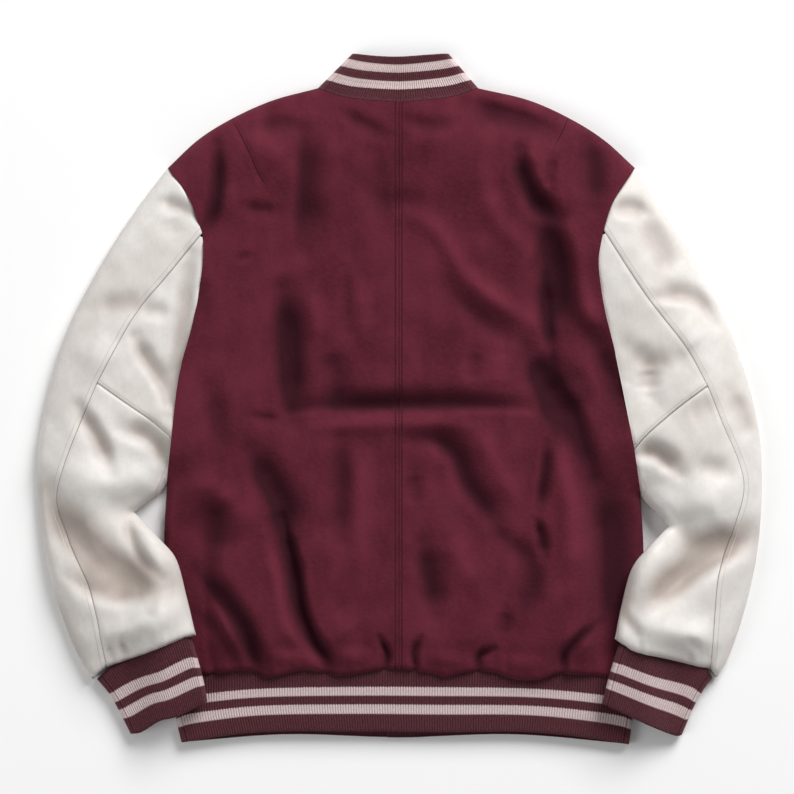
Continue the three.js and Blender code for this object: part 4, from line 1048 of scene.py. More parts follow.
class StudioFloor(Finish):
    """Plain pale studio floor."""

    name = "studio_floor"

    def build(self) -> None:
        """Makes the floor's faint unevenness."""
        cloud = self.noise(400, 2, 0.5)
        colour = self.blend(cloud, rgb(250, 250, 250), rgb(252, 252, 252))
        self.set(Base_Color=colour, Roughness=0.9, Specular_IOR_Level=0.1)


@dataclass(frozen=True)
class Finishes:
    """Every finish of the jacket."""

    wool: Finish
    leather: Finish
    collar: Finish
    hem: Finish
    cuff: Finish
    wool_thread: Finish
    leather_thread: Finish
    snap: Finish


@dataclass
class Cloth:
    """A grid of places on a cloth's outer face, with what is known at each of them."""

    name: str
    places: np.ndarray
    marks: dict[str, np.ndarray]
    thickness: float
    finish: Finish
    faces_up: bool = True
    closed: bool = False

    def build(self) -> bpy.types.Object:
        """Makes the cloth as a shell of its own thickness.

        Returns:
            The piece, in metres, at the origin.
        """
        rows, columns = self.places.shape[:2]
        bm = bmesh.new()
        bmesh.ops.create_grid(bm, x_segments=columns - 1, y_segments=rows - 1, size=1.0)
        mesh = bpy.data.meshes.new(self.name)
        bm.to_mesh(mesh)
        bm.free()
        count = len(mesh.vertices)
        start = np.empty(count * 3, dtype=np.float32)
        mesh.vertices.foreach_get("co", start)
        start = start.reshape(-1, 3)
        column = np.rint((start[:, 0] + 1) / 2 * (columns - 1)).astype(int)
        row = np.rint((1 - start[:, 1]) / 2 * (rows - 1)).astype(int)
        moved = (self.places[row, column] * MM).astype(np.float32)
        mesh.vertices.foreach_set("co", moved.ravel())
        for name, values in self.marks.items():
            layer = mesh.attributes.new(name, "FLOAT", "POINT")
            layer.data.foreach_set("value", values[row, column].astype(np.float32))
        self.lay_uv(mesh, row, column)
        mesh.update()
        self.finish_faces(mesh)
        piece = bpy.data.objects.new(self.name, mesh)
        bpy.context.scene.collection.objects.link(piece)
        piece.data.materials.append(self.finish.made)
        shell = piece.modifiers.new("thickness", "SOLIDIFY")
        shell.thickness = self.thickness * MM
        shell.offset = -1.0
        shell.use_even_offset = False
        return piece

    def lay_uv(self, mesh: bpy.types.Mesh, row: np.ndarray, column: np.ndarray) -> None:
        """Gives the mesh a UV map that follows the cloth, in shares of its width and length."""
        rows, columns = self.places.shape[:2]
        layer = mesh.uv_layers.new(name="cloth")
        corner = np.empty(len(mesh.loops), dtype=np.int32)
        mesh.loops.foreach_get("vertex_index", corner)
        uv = np.column_stack([column[corner] / (columns - 1), 1 - row[corner] / (rows - 1)])
        layer.data.foreach_set("uv", uv.astype(np.float32).ravel())

    def finish_faces(self, mesh: bpy.types.Mesh) -> None:
        """Welds a closed ring, turns the faces outwards and shades them smooth."""
        bm = bmesh.new()
        bm.from_mesh(mesh)
        if self.closed:
            bmesh.ops.remove_doubles(bm, verts=bm.verts[:], dist=0.00001)
        bm.normal_update()
        upward = sum(
            face.normal.z * face.calc_center_median().z * face.calc_area() for face in bm.faces
        )
        if not self.closed and (upward > 0) != self.faces_up:
            bmesh.ops.reverse_faces(bm, faces=bm.faces[:])
        if self.closed:
            bmesh.ops.recalc_face_normals(bm, faces=bm.faces[:])
        for face in bm.faces:
            face.smooth = True
        bm.to_mesh(mesh)
        bm.free()


@dataclass
class Sewn:
    """A finished piece, the part that it stands for, where it was cut, its area and what it rests on."""

    piece: bpy.types.Object
    finish: Finish
    node: str | None = None
    cut: Point | None = None
    area: float | None = None
    rests_on: tuple[str, ...] = ()

    def declare(self) -> None:
        """Hangs the piece on the root body, hides the part that it stands for and logs its count of places."""
        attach(self.piece, "root")
        if self.node:
            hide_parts(self.node)
        LOG.info("%s: %d places", self.piece.name, len(self.piece.data.vertices))


def raised(flat: np.ndarray, height: np.ndarray) -> np.ndarray:
    """Stacks places in the plane and their heights into places in space."""
    return np.concatenate([flat, height[..., None]], axis=-1)


def hollow_of(places: np.ndarray, folds: tuple[Fold, ...]) -> np.ndarray:
    """Returns how deep in a fold each place is, from -1 on a crest to 1 in a trough, which the finishes paint as
    shade and highlight.
    """
    return np.clip(-fold_height(places, folds) / FULL_HOLLOW, -1.0, 1.0)


def beside(line: np.ndarray, gap: float) -> np.ndarray:
    """Draws a line that runs beside another, to its left by a gap."""
    ahead = np.gradient(line, axis=0)
    ahead /= np.linalg.norm(ahead, axis=1)[:, None]
    return line + gap * np.column_stack([-ahead[:, 1], ahead[:, 0]])


@dataclass
class BackPanel:
    """One half of the wool back, from the collar to the hem and from the side to the centre."""

    side: Side
    finishes: Finishes
    spacing: float = 2.3
    stitch_gap: float = 3.4
    welt: float = 0.8
    welt_at: float = 2.2
    welt_width: float = 1.7

    def row(self) -> np.ndarray:
        """Draws the stitched row beside the centre seam."""
        half = HALVES[self.side]
        x = CENTRE - half.inward * self.stitch_gap
        return np.array([[x, half.neck[-1][1] - 3], [x, half.hem_seam[-1][1] + 4]])

    def grid(self) -> np.ndarray:
        """Lays out the panel between its armhole, side, shoulder, neck, centre and hem."""
        half = HALVES[self.side]
        armhole = smooth_line(half.armhole_top, half.armhole_middle, half.armhole_low)
        side = smooth_line(half.side)
        shoulder = smooth_line(backwards(half.shoulder))
        neck = smooth_line(half.neck)
        seam = smooth_line(half.hem_seam)
        left = joined(
            along(armhole, stations(travelled(armhole)[-1], self.spacing, True, True)),
            along(side, stations(travelled(side)[-1], self.spacing)),
        )
        top = joined(
            along(shoulder, stations(travelled(shoulder)[-1], self.spacing, True)),
            along(neck, stations(travelled(neck)[-1], self.spacing, True)),
        )
        bottom = along(seam, stations(travelled(seam)[-1], 0, True, count=len(top)))
        down = travelled(left) / travelled(left)[-1]
        centre = np.array([half.neck[-1], half.hem_seam[-1]], dtype=float)
        return coons(top, bottom, left, along(centre, down))

    def build(self) -> list[Sewn]:
        """Makes the panel."""
        flat = self.grid()
        x = flat[..., 0] - CENTRE
        felled = self.welt * np.exp(-(((x - self.welt_at) / self.welt_width) ** 2))
        felled = felled + 0.35 * (1 - smooth((np.abs(x) - self.stitch_gap + 0.4) / 1.2))
        dart, _, dart_side = nearest(flat, smooth_line(DARTS[self.side]))
        darted = -1.4 * np.exp(-((dart / 2.8) ** 2))
        height = LAY.body_top(flat) + felled + darted + SEAM_GAP / 2
        marks = {
            "seam": np.where(dart_side > 0, dart, -dart),
            "row": x + HALVES[self.side].inward * self.stitch_gap,
            "hollow": hollow_of(flat, BACK_FOLDS),
        }
        name = f"wool_back_{self.side.value}"
        cloth = Cloth(name, raised(flat, height), marks, WOOL_THICKNESS, self.finishes.wool)
        return [Sewn(cloth.build(), self.finishes.wool, f"back_{self.side.value}",
                     (284, 640), 0.147, ("front_left", "front_right"))]


@dataclass
class FrontPanel:
    """One half of the wool front, which lies on the surface and laps over the other."""

    side: Side
    finishes: Finishes
    spacing: float = 6.0
    overlap: float = 12.5
    lap_flat: float = 17.0
    lap_ease: float = 36.0
    armhole_reach: float = 0.44
    snap_first: float = 204.0
    snap_last: float = -266.0
    snap_count: int = 7

    def snaps(self) -> np.ndarray:
        """Places the snaps down the centre front."""
        y = np.linspace(self.snap_first, self.snap_last, self.snap_count)
        return np.column_stack([np.full(self.snap_count, CENTRE), y])

    def grid(self) -> np.ndarray:
        """Lays out the panel between its armhole, side, shoulder, neck, closing and hem."""
        half = HALVES[self.side]
        armhole = smooth_line(half.armhole_top, half.armhole_middle, half.armhole_low)
        side = smooth_line(half.side)
        shoulder = smooth_line(backwards(half.shoulder))
        neck = smooth_line(half.front_neck)
        seam = smooth_line(half.front_hem_seam)
        left = joined(
            along(armhole, stations(travelled(armhole)[-1], self.spacing, True, True)),
            along(side, stations(travelled(side)[-1], self.spacing)),
        )
        beyond = CENTRE + self.overlap * half.inward
        lap = [(beyond, half.front_neck[-1][1])]
        end = [(beyond, half.front_hem_seam[-1][1])]
        extra = np.linspace(0, 1, 8)[1:, None]
        top = joined(
            along(shoulder, stations(travelled(shoulder)[-1], self.spacing, True)),
            along(neck, stations(travelled(neck)[-1], self.spacing, True)),
        )
        bottom = along(seam, stations(travelled(seam)[-1], 0, True, count=len(top)))
        top = np.vstack([top, top[-1] + (np.array(lap) - top[-1]) * extra])
        bottom = np.vstack([bottom, bottom[-1] + (np.array(end) - bottom[-1]) * extra])
        down = travelled(left) / travelled(left)[-1]
        right = along(np.array([top[-1], bottom[-1]]), down)
        return coons(top, bottom, left, right, self.armhole_reach)

    def build(self) -> list[Sewn]:
        """Makes the panel, dented round its snaps where it is the lapping one."""
        half = HALVES[self.side]
        flat = self.grid()
        rise = np.zeros(flat.shape[:2])
        if self.side is Side.LEFT:
            for snap in self.snaps():
                distance = np.linalg.norm(flat - snap, axis=-1)
                rise = np.maximum(rise, 1.9 * smooth((10.5 - distance) / 2.6))
        else:
            from_centre = flat[..., 0] - CENTRE - self.lap_flat
            eased = smooth(from_centre / (self.lap_ease - self.lap_flat))
            rise = (WOOL_THICKNESS + 2 * SEAM_GAP) * (1 - eased)
        height = LAY.underside(flat, BODY_TURNS, rise) - SEAM_GAP / 2
        height = np.maximum(height, 0.0)
        edge = CENTRE + self.overlap * half.inward
        closing = np.array([[edge - 6.0 * half.inward, 214.0], [edge - 6.0 * half.inward, -284.0]])
        marks = {
            "seam": np.full(flat.shape[:2], 99.0),
            "row": flat[..., 0] - closing[0, 0],
            "hollow": np.zeros(flat.shape[:2]),
        }
        name = f"wool_front_{self.side.value}"
        cloth = Cloth(name, raised(flat, height), marks, WOOL_THICKNESS, self.finishes.wool,
                      faces_up=False)
        return [Sewn(cloth.build(), self.finishes.wool, f"front_{self.side.value}",
                     (300, 625), 0.14, ())]


@dataclass
class Sleeve:
    """One leather sleeve in three pieces: the outer one, and the upper and lower under ones."""

    side: Side
    finishes: Finishes
    spacing: float = 2.8
    seam_tip: float = 0.02
    stitch_gap: float = 5.0
    elbow_gap: float = 3.6

    def edges(self) -> dict[str, np.ndarray]:
        """Divides every edge that the sleeve's pieces share."""
        half = HALVES[self.side]
        lines = {
            "top": smooth_line(half.armhole_top),
            "middle": smooth_line(half.armhole_middle),
            "low": smooth_line(half.armhole_low),
            "upper_seam": smooth_line(half.back_seam_upper),
            "lower_seam": smooth_line(half.back_seam_lower),
            "outer": smooth_line(half.outer),
            "elbow": smooth_line(half.elbow),
            "inner": smooth_line(half.inner_upper, half.inner_lower),
        }
        length = {name: travelled(line)[-1] for name, line in lines.items()}
        middle = stations(length["middle"], self.spacing)
        below = stations(length["low"] + length["inner"], self.spacing)
        top = stations(length["top"], self.spacing, True)
        low = np.vstack([lines["low"], lines["inner"][1:]])
        rows = len(middle) + len(below) - 1
        return {
            "top": along(lines["top"], top),
            "top_shares": top,
            "middle": along(lines["middle"], middle),
            "upper_seam": along(lines["upper_seam"], middle),
            "lower_seam": along(lines["lower_seam"], below),
            "low": along(low, below),
            "outline": along(lines["outer"], np.linspace(0, 1, rows)),
            "elbow": along(lines["elbow"], stations(length["elbow"], self.spacing, True, True)),
        }

    def top_wall(self, flat: np.ndarray, lower: float) -> np.ndarray:
        """Raises the places of a piece that shows, a little lower beside an armhole."""
        return raised(flat, LAY.sleeve_top(flat, self.side) + SEAM_GAP / 2 - lower)

    def marks(self, flat: np.ndarray, beside_seam: int, gap: float) -> dict[str, np.ndarray]:
        """Notes each place's distance from its seam and stitched row, and its depth in a fold.

        Args:
            flat: The piece's places.
            beside_seam: The number of the seam that the row runs beside.
            gap: How far from that seam it runs.

        Returns:
            The marks by name.
        """
        back, elbow = (nearest(flat, line)[0] for line in sleeve_seams(HALVES[self.side])[:2])
        return {
            "seam": np.minimum(back, elbow),
            "row": (back, elbow)[beside_seam] - gap,
            "hollow": hollow_of(flat, SLEEVE_FOLDS[self.side]),
        }

    def stitched(self) -> list[np.ndarray]:
        """Draws the rows of topstitching beside the back seam and above the elbow seam."""
        half = HALVES[self.side]
        seam = smooth_line(half.back_seam_upper, half.back_seam_lower)
        elbow = smooth_line(half.elbow)
        outward = -half.inward * self.stitch_gap
        upward = half.inward * self.elbow_gap
        return [beside(seam, outward)[2:-2], beside(elbow, upward)[2:-2]]

    def build(self) -> list[Sewn]:
        """Makes the sleeve's three pieces."""
        half = HALVES[self.side]
        edges = self.edges()
        seam = joined(edges["upper_seam"], edges["lower_seam"])
        cuff_outer = smooth_line(backwards(half.cuff_seam_outer))
        over = coons(
            edges["top"][::-1],
            along(cuff_outer, 1 - edges["top_shares"][::-1])[::-1][::-1],
            seam,
            edges["outline"],
        )
        cuff_seam = smooth_line(half.cuff_seam_outer, half.cuff_seam_inner)
        arm_line = smooth_line(half.armhole_top)
        arm_length = travelled(arm_line)[-1]
        count = len(stations(arm_length, self.spacing * 2, True, True))
        below = coons(
            along(arm_line, stations(arm_length, 0, True, True, count=count)),
            along(cuff_seam, stations(travelled(cuff_seam)[-1], 0, True, True, count=count)),
            edges["outline"],
            joined(edges["middle"], edges["low"]),
        )
        lift = LAY.lift(below, half)
        under = raised(below, LAY.underside(below, sleeve_turns(self.side), lift))
        whole = np.concatenate([self.top_wall(over, 0)[:, :-1], under], axis=1)
        both = np.concatenate([over[:, :-1], below], axis=1)
        marks = self.marks(both, 0, self.stitch_gap)
        unseen = np.arange(both.shape[1]) >= over.shape[1]
        marks["seam"][:, unseen] = 99.0
        marks["row"][:, unseen] = 99.0
        marks["hollow"][:, unseen] = 0.0
        leather = self.finishes.leather
        word = self.side.value
        outer = Cloth(f"leather_sleeve_{word}_outer", whole, marks, LEATHER_THICKNESS, leather)
        made = [Sewn(outer.build(), leather, f"sleeve_{word}_outer", (210, 590), 0.092,
                     ("front_left",))]

        tip = np.maximum(np.linspace(0, 1, len(edges["middle"])), self.seam_tip)
        seam_side = along(smooth_line(half.back_seam_upper), tip)
        arm_side = along(smooth_line(half.armhole_middle), tip)
        elbow_shares = travelled(edges["elbow"]) / travelled(edges["elbow"])[-1]
        tip_row = along(np.array([seam_side[0], arm_side[0]]), elbow_shares)
        upper = coons(tip_row, edges["elbow"], seam_side, arm_side)
        cloth = Cloth(f"leather_sleeve_{word}_upper", self.top_wall(upper, 0),
                      self.marks(upper, 1, self.elbow_gap), LEATHER_THICKNESS, leather)
        made.append(Sewn(cloth.build(), leather, f"sleeve_{word}_under_upper", (105, 230),
                         0.011, ("front_left",)))

        cuff_inner = smooth_line(half.cuff_seam_inner)
        cuff_shares = stations(travelled(cuff_inner)[-1], 0, False, True,
                               count=len(edges["elbow"]))
        lower = coons(edges["elbow"], along(cuff_inner, cuff_shares), edges["lower_seam"],
                      edges["low"])
        cloth = Cloth(f"leather_sleeve_{word}_lower", self.top_wall(lower, 0),
                      self.marks(lower, 0, 99.0), LEATHER_THICKNESS, leather)
        made.append(Sewn(cloth.build(), leather, f"sleeve_{word}_under_lower", (122, 318),
                         0.028, ("back_left",)))
        return made


@dataclass
class BandEdges:
    """The four edges of one layer of a knit band, seen from above."""

    seam: np.ndarray
    free: np.ndarray
    left: np.ndarray
    right: np.ndarray

    def places(self, across: np.ndarray, down: np.ndarray) -> np.ndarray:
        """Finds places by their shares across the band and down from its seam.

        Args:
            across: The share across of each column.
            down: The share down of each row.

        Returns:
            The places, as rows, columns and then x and y.
        """
        u, v = across[None, :, None], down[:, None, None]
        grid = along(self.seam, across)[None] * (1 - v) + along(self.free, across)[None] * v
        left = along(self.left, down)[:, None]
        right = along(self.right, down)[:, None]
        grid = grid + (1 - u) * (left - self.seam[0] * (1 - v) - self.free[0] * v)
        return grid + u * (right - self.seam[-1] * (1 - v) - self.free[-1] * v)


@dataclass
class KnitBand:
    """A flattened ring of doubled rib knit: the hem band or a cuff."""

    name: str
    node: str
    over: BandEdges
    under: BandEdges
    width: float
    finish: Finish
    cut: Point
    area: float
    opening: tuple[float, float] = (0.5, 0.5)
    half: HalfOutline | None = None
    rests_on: tuple[str, ...] = ()
    radius: float = 7.0
    pitch: float = 2.7
    relief: float = 0.9
    per_rib: int = 8
    rows: int = 26
    lip: float = 1.9
    lip_reach: float = 3.0

    def columns(self) -> dict[str, np.ndarray]:
        """Divides the ring: under, round the left edge, over, round the right, under again.

        Returns:
            Each column's share across, its lean outwards, its layer and its height in a rib.
        """
        edge = self.radius / self.width
        start, end = self.opening
        ribs = round((self.width - 2 * self.radius) / self.pitch)
        turned = np.linspace(0, math.pi / 2, 7)[1:-1]
        steps = max(4, round(self.width / 9))
        first = np.linspace(start, edge, steps)
        last = np.linspace(1 - edge, end, steps)
        over = np.linspace(edge, 1 - edge, ribs * self.per_rib + 1)
        phase = (over - edge) / (1 - 2 * edge) * ribs
        rib = np.sqrt(np.abs(np.sin(math.pi * phase)))
        roll_over = edge * (1 - np.cos(turned))
        across = np.concatenate([
            first, roll_over[::-1], [0.0], roll_over, over, 1 - roll_over[::-1], [1.0],
            1 - roll_over, last,
        ])
        lean = np.concatenate([
            np.zeros(steps), np.cos(turned[::-1]), [1.0], np.cos(turned), np.zeros(len(over)),
            np.cos(turned[::-1]), [1.0], np.cos(turned), np.zeros(steps),
        ])
        quarter = len(turned)
        layer = np.concatenate([
            -np.ones(steps + quarter), np.ones(2 * quarter + 2 + len(over)),
            -np.ones(steps + quarter),
        ])
        ribbed = np.concatenate([
            np.full(steps + 2 * quarter + 1, 0.7), rib, np.full(steps + 2 * quarter + 1, 0.7),
        ])
        strength = np.concatenate([
            np.zeros(steps + 2 * quarter + 1), np.ones(len(over)),
            np.zeros(steps + 2 * quarter + 1),
        ])
        return {"across": across, "lean": lean, "layer": layer, "rib": ribbed,
                "strength": strength}

    def lap_rise(self, x: np.ndarray) -> np.ndarray:
        """Raises the right end of the hem band over the left one where they lap."""
        return LAP_RISE * (1 - smooth((x - CENTRE - 17) / 19))

    def build(self) -> list[Sewn]:
        """Makes the band."""
        column = self.columns()
        length = travelled(self.over.left)[-1]
        near_end = self.lip_reach / length
        down = np.concatenate([
            np.linspace(0, 1 - near_end, self.rows),
            1 - near_end * (1 - np.sin(np.linspace(0, math.pi / 2, 6)[1:])),
        ])
        upper = self.over.places(column["across"], down)
        lower = self.under.places(column["across"], down)
        above = column["layer"] > 0
        flat = np.where(above[None, :, None], upper, lower)
        level = np.sqrt(1 - column["lean"] ** 2)[None, :]
        way = column["layer"][None, :]
        free = np.clip((down - (1 - near_end)) / near_end, 0, 1)[:, None]
        turned_in = self.lip * (1 - np.sqrt(np.maximum(1 - free**2, 0))) * level
        rib = (column["rib"] - 0.6)[None, :] * column["strength"][None, :] * self.relief
        height = self.radius + way * (self.radius * level + rib - turned_in)
        if self.half is not None:
            stand = self.half.cuff_stand * level * (1 - down[:, None])
            height = height + np.where(above[None, :], stand, 0) + LAY.lift(flat, self.half)
        else:
            right_under = ~above & (np.arange(len(above)) > len(above) / 2)
            height = height + np.where(right_under[None, :], self.lap_rise(flat[..., 0]), 0)
        course = np.abs(np.sin(math.pi * down[:, None] * length / 1.5
                               + np.cumsum(column["strength"])[None, :] * math.pi / self.per_rib))
        shape = flat.shape[:2]
        marks = {
            "rib": np.broadcast_to(column["rib"][None, :], shape),
            "down": np.broadcast_to(down[:, None], shape),
            "ends": np.broadcast_to(((2 * column["across"] - 1) ** 2)[None, :], shape),
            "course": course,
        }
        closed = self.half is not None
        cloth = Cloth(self.name, raised(flat, np.maximum(height, 0.05)), marks, KNIT_THICKNESS,
                      self.finish, closed=closed)
        return [Sewn(cloth.build(), self.finish, self.node, self.cut, self.area, self.rests_on)]


@dataclass
class Collar:
    """The stand collar: one strip of rib knit from centre front round the back of the neck."""

    finishes: Finishes
    pitch: float = 2.7
    relief: float = 1.1
    per_rib: int = 8
    rows: int = 20
    back_gap: float = 0.6
    front_gap: float = 1.8
    lip: float = 1.6
    lip_reach: float = 3.0
    plain_base: float = 0.08

    def front_edges(self, side: Side) -> BandEdges:
        """Draws the edges of a front half of the collar, from the shoulder to centre front."""
        half = HALVES[side]
        end = CENTRE - half.inward * 0.5
        seam = (*half.front_neck[:-1], (end, half.front_neck[-1][1]))
        free = (*half.front_collar_top[:-1], (end, half.front_collar_top[-1][1]))
        return BandEdges(
            smooth_line(seam), smooth_line(free), smooth_line(backwards(half.collar_side)),
            np.array([seam[-1], free[-1]], dtype=float),
        )

    def build(self) -> list[Sewn]:
        """Makes the collar."""
        left, right = HALVES[Side.LEFT], HALVES[Side.RIGHT]
        back = BandEdges(
            smooth_line(left.neck, backwards(right.neck)), smooth_line(COLLAR_TOP),
            smooth_line(backwards(left.collar_side)), smooth_line(backwards(right.collar_side)),
        )
        width = travelled(back.seam)[-1]
        length = travelled(back.left)[-1]
        near_end = self.lip_reach / length
        down = np.concatenate([
            [0.0], np.linspace(self.back_gap / length, 1 - near_end, self.rows),
            1 - near_end * (1 - np.sin(np.linspace(0, math.pi / 2, 6)[1:])),
        ])
        down[0] = self.back_gap / length * 0.5
        ribs = round((width - 2 * LAY.edge_radius) / self.pitch)
        edge = LAY.edge_radius / width
        rolled = np.array(ROLL_STEPS[:-1]) / width
        over = np.linspace(edge, 1 - edge, ribs * self.per_rib + 1)
        across = np.concatenate([rolled, over, 1 - rolled[::-1]])
        phase = (over - edge) / (1 - 2 * edge) * ribs
        flat_part = np.full(len(rolled), 0.7)
        rib = np.concatenate([flat_part, np.sqrt(np.abs(np.sin(math.pi * phase))), flat_part])
        strength = np.concatenate([0 * rolled, np.ones(len(over)), 0 * rolled])

        flat = back.places(across, down)
        fades = smooth((down - self.plain_base) / 0.04)[:, None]
        free = np.clip((down - (1 - near_end)) / near_end, 0, 1)[:, None]
        lip = self.lip * (1 - np.sqrt(np.maximum(1 - free**2, 0)))
        height = LAY.body_top(flat) - SEAM_GAP - lip
        height = height + (rib - 0.6)[None, :] * strength[None, :] * self.relief * fades
        parts = [raised(flat, height)]
        counts = [0, len(across), 0]
        for order, side in ((0, Side.LEFT), (1, Side.RIGHT)):
            edges = self.front_edges(side)
            front_length = travelled(edges.seam)[-1]
            shares = stations(front_length, 5.0, True)[1:]
            front = edges.places(shares, mix(self.front_gap / length, 1.0, down))
            lower = raised(front, LAY.underside(front, BODY_TURNS, 0.0))
            counts[2 * order] = len(shares)
            parts.insert(2 * order, lower if order else lower[:, ::-1])
        places = np.concatenate(parts, axis=1)
        shape = places.shape[:2]
        plain = [np.full(counts[0], 0.7), rib, np.full(counts[2], 0.7)]
        ends = [np.ones(counts[0]), (2 * across - 1) ** 2, np.ones(counts[2])]
        course = np.abs(np.sin(math.pi * down * length / 1.5))[:, None]
        marks = {
            "rib": np.broadcast_to(np.concatenate(plain)[None, :], shape),
            "down": np.broadcast_to(down[:, None], shape),
            "ends": np.broadcast_to(np.concatenate(ends)[None, :], shape),
            "course": np.broadcast_to(course, shape),
        }
        finish = self.finishes.collar
        cloth = Cloth("knit_collar", places, marks, KNIT_THICKNESS, finish)
        return [Sewn(cloth.build(), finish, "collar_rib", (510, 60), 0.021,
                     ("front_left", "front_right"))]


@dataclass
class Stitching:
    """Rows of topstitching that lie in the grooves of the cloth."""

    name: str
    lines: list[np.ndarray]
    height: object
    finish: Finish
    pitch: float = 3.4
    length: float = 2.3
    thick: float = 0.55
    rise: float = 0.05

    def build(self) -> list[Sewn]:
        """Makes the stitches as one piece."""
        bm = bmesh.new()
        size = Matrix.Diagonal((self.length / 2 * MM, self.thick / 2 * MM, self.thick / 2 * MM, 1))
        for line in self.lines:
            whole = travelled(line)[-1]
            count = max(2, int(whole / self.pitch))
            places = along(line, (np.arange(count) + 0.5) / count)
            ahead = along(line, np.minimum((np.arange(count) + 0.6) / count, 1.0))
            heights = self.height(places)
            ahead_heights = self.height(ahead)
            for here, there, low, high in zip(places, ahead, heights, ahead_heights):
                spot = Vector((here[0], here[1], low + self.rise)) * MM
                way = Vector((there[0] - here[0], there[1] - here[1], high - low))
                turn = way.to_track_quat("X", "Z").to_matrix().to_4x4()
                bmesh.ops.create_uvsphere(
                    bm, u_segments=6, v_segments=4, radius=1.0,
                    matrix=Matrix.Translation(spot) @ turn @ size,
                )
        for face in bm.faces:
            face.smooth = True
        mesh = bpy.data.meshes.new(self.name)
        bm.to_mesh(mesh)
        bm.free()
        piece = bpy.data.objects.new(self.name, mesh)
        bpy.context.scene.collection.objects.link(piece)
        piece.data.materials.append(self.finish.made)
        return [Sewn(piece, self.finish)]


@dataclass
class Snap:
    """One metal snap cap, domed with a ring round it."""

    number: int
    place: Point
    finishes: Finishes
    radius: float = 7.5
    thickness: float = 1.3
    clear: float = 0.15

    def build(self) -> list[Sewn]:
        """Spins the cap from its section."""
        section = (
            (0.0, 0.25), (2.2, 0.1), (3.4, 0.0), (5.2, 0.1), (5.6, 0.4), (6.0, 0.1),
            (6.9, 0.05), (self.radius, 0.45), (self.radius, self.thickness),
            (0.0, self.thickness),
        )
        bm = bmesh.new()
        x, y = self.place
        corners = [
            bm.verts.new(Vector((x + across, y, self.clear + up)) * MM) for across, up in section
        ]
        edges = [bm.edges.new(pair) for pair in zip(corners, corners[1:])]
        bmesh.ops.spin(
            bm, geom=corners + edges, cent=Vector((x, y, 0)) * MM, axis=(0, 0, 1),
            angle=2 * math.pi, steps=48, use_merge=True,
        )
        bmesh.ops.remove_doubles(bm, verts=bm.verts[:], dist=0.000005)
        bmesh.ops.recalc_face_normals(bm, faces=bm.faces[:])
        for face in bm.faces:
            face.smooth = True
        name = f"snap_cap_{self.number}"
        mesh = bpy.data.meshes.new(name)
        bm.to_mesh(mesh)
        bm.free()
        piece = bpy.data.objects.new(name, mesh)
        bpy.context.scene.collection.objects.link(piece)
        piece.data.materials.append(self.finishes.snap.made)
        return [Sewn(piece, self.finishes.snap, f"snap_{self.number}")]


@dataclass
class Studio:
    """The pale floor, the soft light and the camera straight above."""

    camera_height: float = 4.6
    frame_width: float = 0.8258
    aim: Point = (-0.0026, 0.0016)
    floor_size: float = 6.0

    def build(self) -> None:
        """Sets up the floor, the lights, the surroundings and the camera."""
        bm = bmesh.new()
        bmesh.ops.create_grid(bm, x_segments=1, y_segments=1, size=self.floor_size / 2)
        mesh = bpy.data.meshes.new("floor")
        bmesh.ops.translate(bm, vec=(0, 0, -0.0004), verts=bm.verts[:])
        bm.to_mesh(mesh)
        bm.free()
        floor = bpy.data.objects.new("floor", mesh)
        bpy.context.scene.collection.objects.link(floor)
        floor.data.materials.append(StudioFloor().made)
        self.light("key", (2.7, 4.7, 3.9), 3.6, 505.0)
        self.light("fill", (-3.0, -1.2, 2.8), 2.2, 40.0)
        world = bpy.data.worlds.new("studio")
        bpy.context.scene.world = world
        world.use_nodes = True
        backdrop = world.node_tree.nodes["Background"]
        backdrop.inputs["Color"].default_value = (1.0, 1.0, 1.0, 1.0)
        backdrop.inputs["Strength"].default_value = 0.26
        bpy.context.scene.view_settings.view_transform = "Standard"
        self.camera()

    def light(self, name: str, place: tuple[float, float, float], size: float,
              power: float) -> None:
        """Adds a square soft light aimed at the jacket."""
        data = bpy.data.lights.new(name, "AREA")
        data.size = size
        data.energy = power
        lamp = bpy.data.objects.new(name, data)
        lamp.location = place
        lamp.rotation_euler = Vector(place).to_track_quat("Z", "Y").to_euler()
        bpy.context.scene.collection.objects.link(lamp)

    def camera(self) -> None:
        """Adds the camera, straight above with a long lens."""
        data = bpy.data.cameras.new("camera")
        data.lens = data.sensor_width * (self.camera_height - 0.012) / self.frame_width
        camera = bpy.data.objects.new("camera", data)
        camera.location = (*self.aim, self.camera_height)
        bpy.context.scene.collection.objects.link(camera)
        bpy.context.scene.camera = camera


def hem_band(finishes: Finishes) -> KnitBand:
    """Describes the hem band by its measured edges."""
    left, right = smooth_line(HEM_LEFT), smooth_line(HEM_RIGHT)
    width = HEM_RIGHT[0][0] - HEM_LEFT[0][0]

    def share(x: float) -> float:
        return (x - HEM_LEFT[0][0]) / width

    return KnitBand(
        name="knit_hem", node="hem_rib",
        over=BandEdges(smooth_line(HEM_TOP), smooth_line(HEM_BOTTOM), left, right),
        under=BandEdges(smooth_line(HEM_UNDER), smooth_line(HEM_FRONT_BOTTOM), left, right),
        width=width, finish=finishes.hem, cut=(985, 72), area=0.068,
        opening=(share(CENTRE + 12.5), share(CENTRE - 12.5)), per_rib=7,
    )


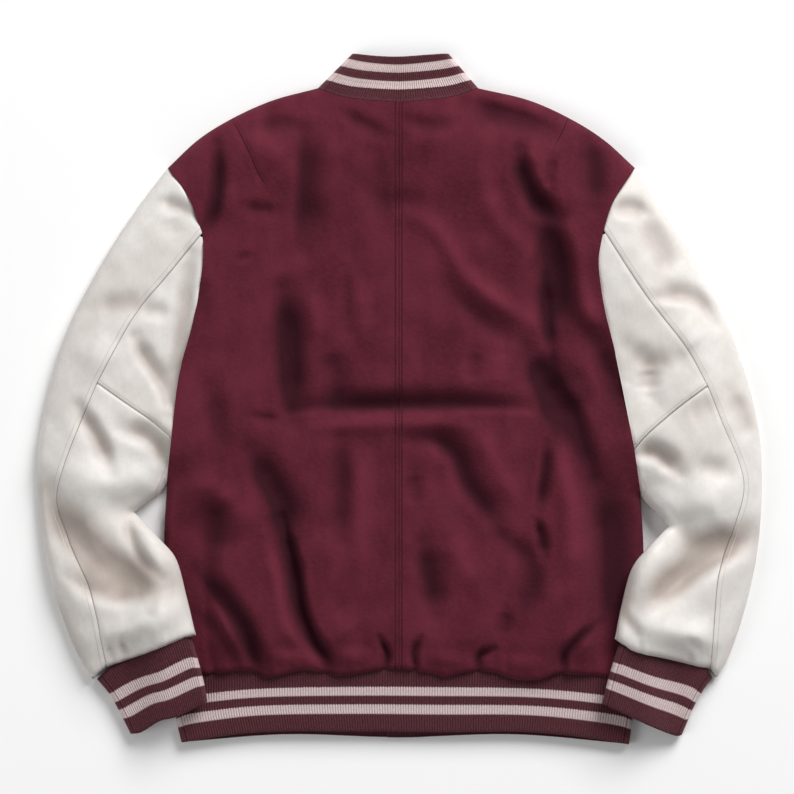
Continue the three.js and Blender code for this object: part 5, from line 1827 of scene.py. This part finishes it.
def cuff_band(side: Side, finishes: Finishes) -> KnitBand:
    """Describes a cuff by its measured edges."""
    half = HALVES[side]
    turned = half.inward < 0

    def ordered(points: Run) -> np.ndarray:
        return smooth_line(backwards(points) if turned else points)

    left = smooth_line(half.cuff_inner if turned else half.cuff_outer)
    right = smooth_line(half.cuff_outer if turned else half.cuff_inner)
    free = ordered(half.cuff_bottom)
    seam = ordered(half.cuff_top)
    return KnitBand(
        name=f"knit_cuff_{side.value}", node=f"cuff_{side.value}",
        over=BandEdges(seam, free, left, right),
        under=BandEdges(ordered(half.cuff_under), free, left, right),
        width=travelled(seam)[-1], finish=finishes.cuff, cut=(225, 78), area=0.0155,
        half=half, rests_on=(f"back_{side.value}", "hem_rib"),
    )


def all_finishes() -> Finishes:
    """Makes every finish once."""
    hem = (Stripe(0.33, 0.458, 0.37, 0.49), Stripe(0.592, 0.733, 0.62, 0.76))
    cuff = (Stripe(0.345, 0.485, 0.3, 0.455), Stripe(0.605, 0.745, 0.59, 0.74))
    collar = (Stripe(0.282, 0.455, 0.24, 0.45), Stripe(0.65, 0.825, 0.645, 0.85))
    return Finishes(
        wool=MeltonWool(),
        leather=CreamLeather(),
        collar=StripedRib("rib_collar", collar, 0.015),
        hem=StripedRib("rib_hem", hem, 0.07),
        cuff=StripedRib("rib_cuff", cuff, 0.07),
        wool_thread=SewingThread("maroon_thread", "wool", rgb(92, 38, 52), rgb(118, 56, 72)),
        leather_thread=SewingThread("cream_thread", "leather", rgb(196, 186, 178),
                                    rgb(224, 216, 208)),
        snap=SnapMetal(),
    )


def stitch_rows(backs: list[BackPanel], sleeves: list[Sleeve],
                finishes: Finishes) -> list[Stitching]:
    """Plans the topstitching of the centre seam and of each sleeve."""
    rows = [
        Stitching("centre_topstitch", [back.row() for back in backs], LAY.body_top,
                  finishes.wool_thread, rise=0.1)
    ]
    for sleeve in sleeves:
        side = sleeve.side
        rows.append(Stitching(
            f"sleeve_{side.value}_topstitch", sleeve.stitched(),
            lambda places, side=side: LAY.sleeve_top(places, side), finishes.leather_thread,
        ))
    return rows


def main() -> None:
    """Builds the jacket piece by piece, and the studio round it."""
    logging.basicConfig(level=logging.INFO, format="%(message)s")
    finishes = all_finishes()
    backs = [BackPanel(side, finishes) for side in Side]
    fronts = [FrontPanel(side, finishes) for side in Side]
    sleeves = [Sleeve(side, finishes) for side in Side]
    snaps = [
        Snap(number + 1, tuple(place), finishes)
        for number, place in enumerate(fronts[0].snaps())
    ]
    parts = [
        *backs, *fronts, *sleeves, Collar(finishes), hem_band(finishes),
        *(cuff_band(side, finishes) for side in Side), *stitch_rows(backs, sleeves, finishes),
        *snaps,
    ]
    for part in parts:
        for sewn in part.build():
            sewn.declare()
    Studio().build()


if __name__ == "__main__":
    main()
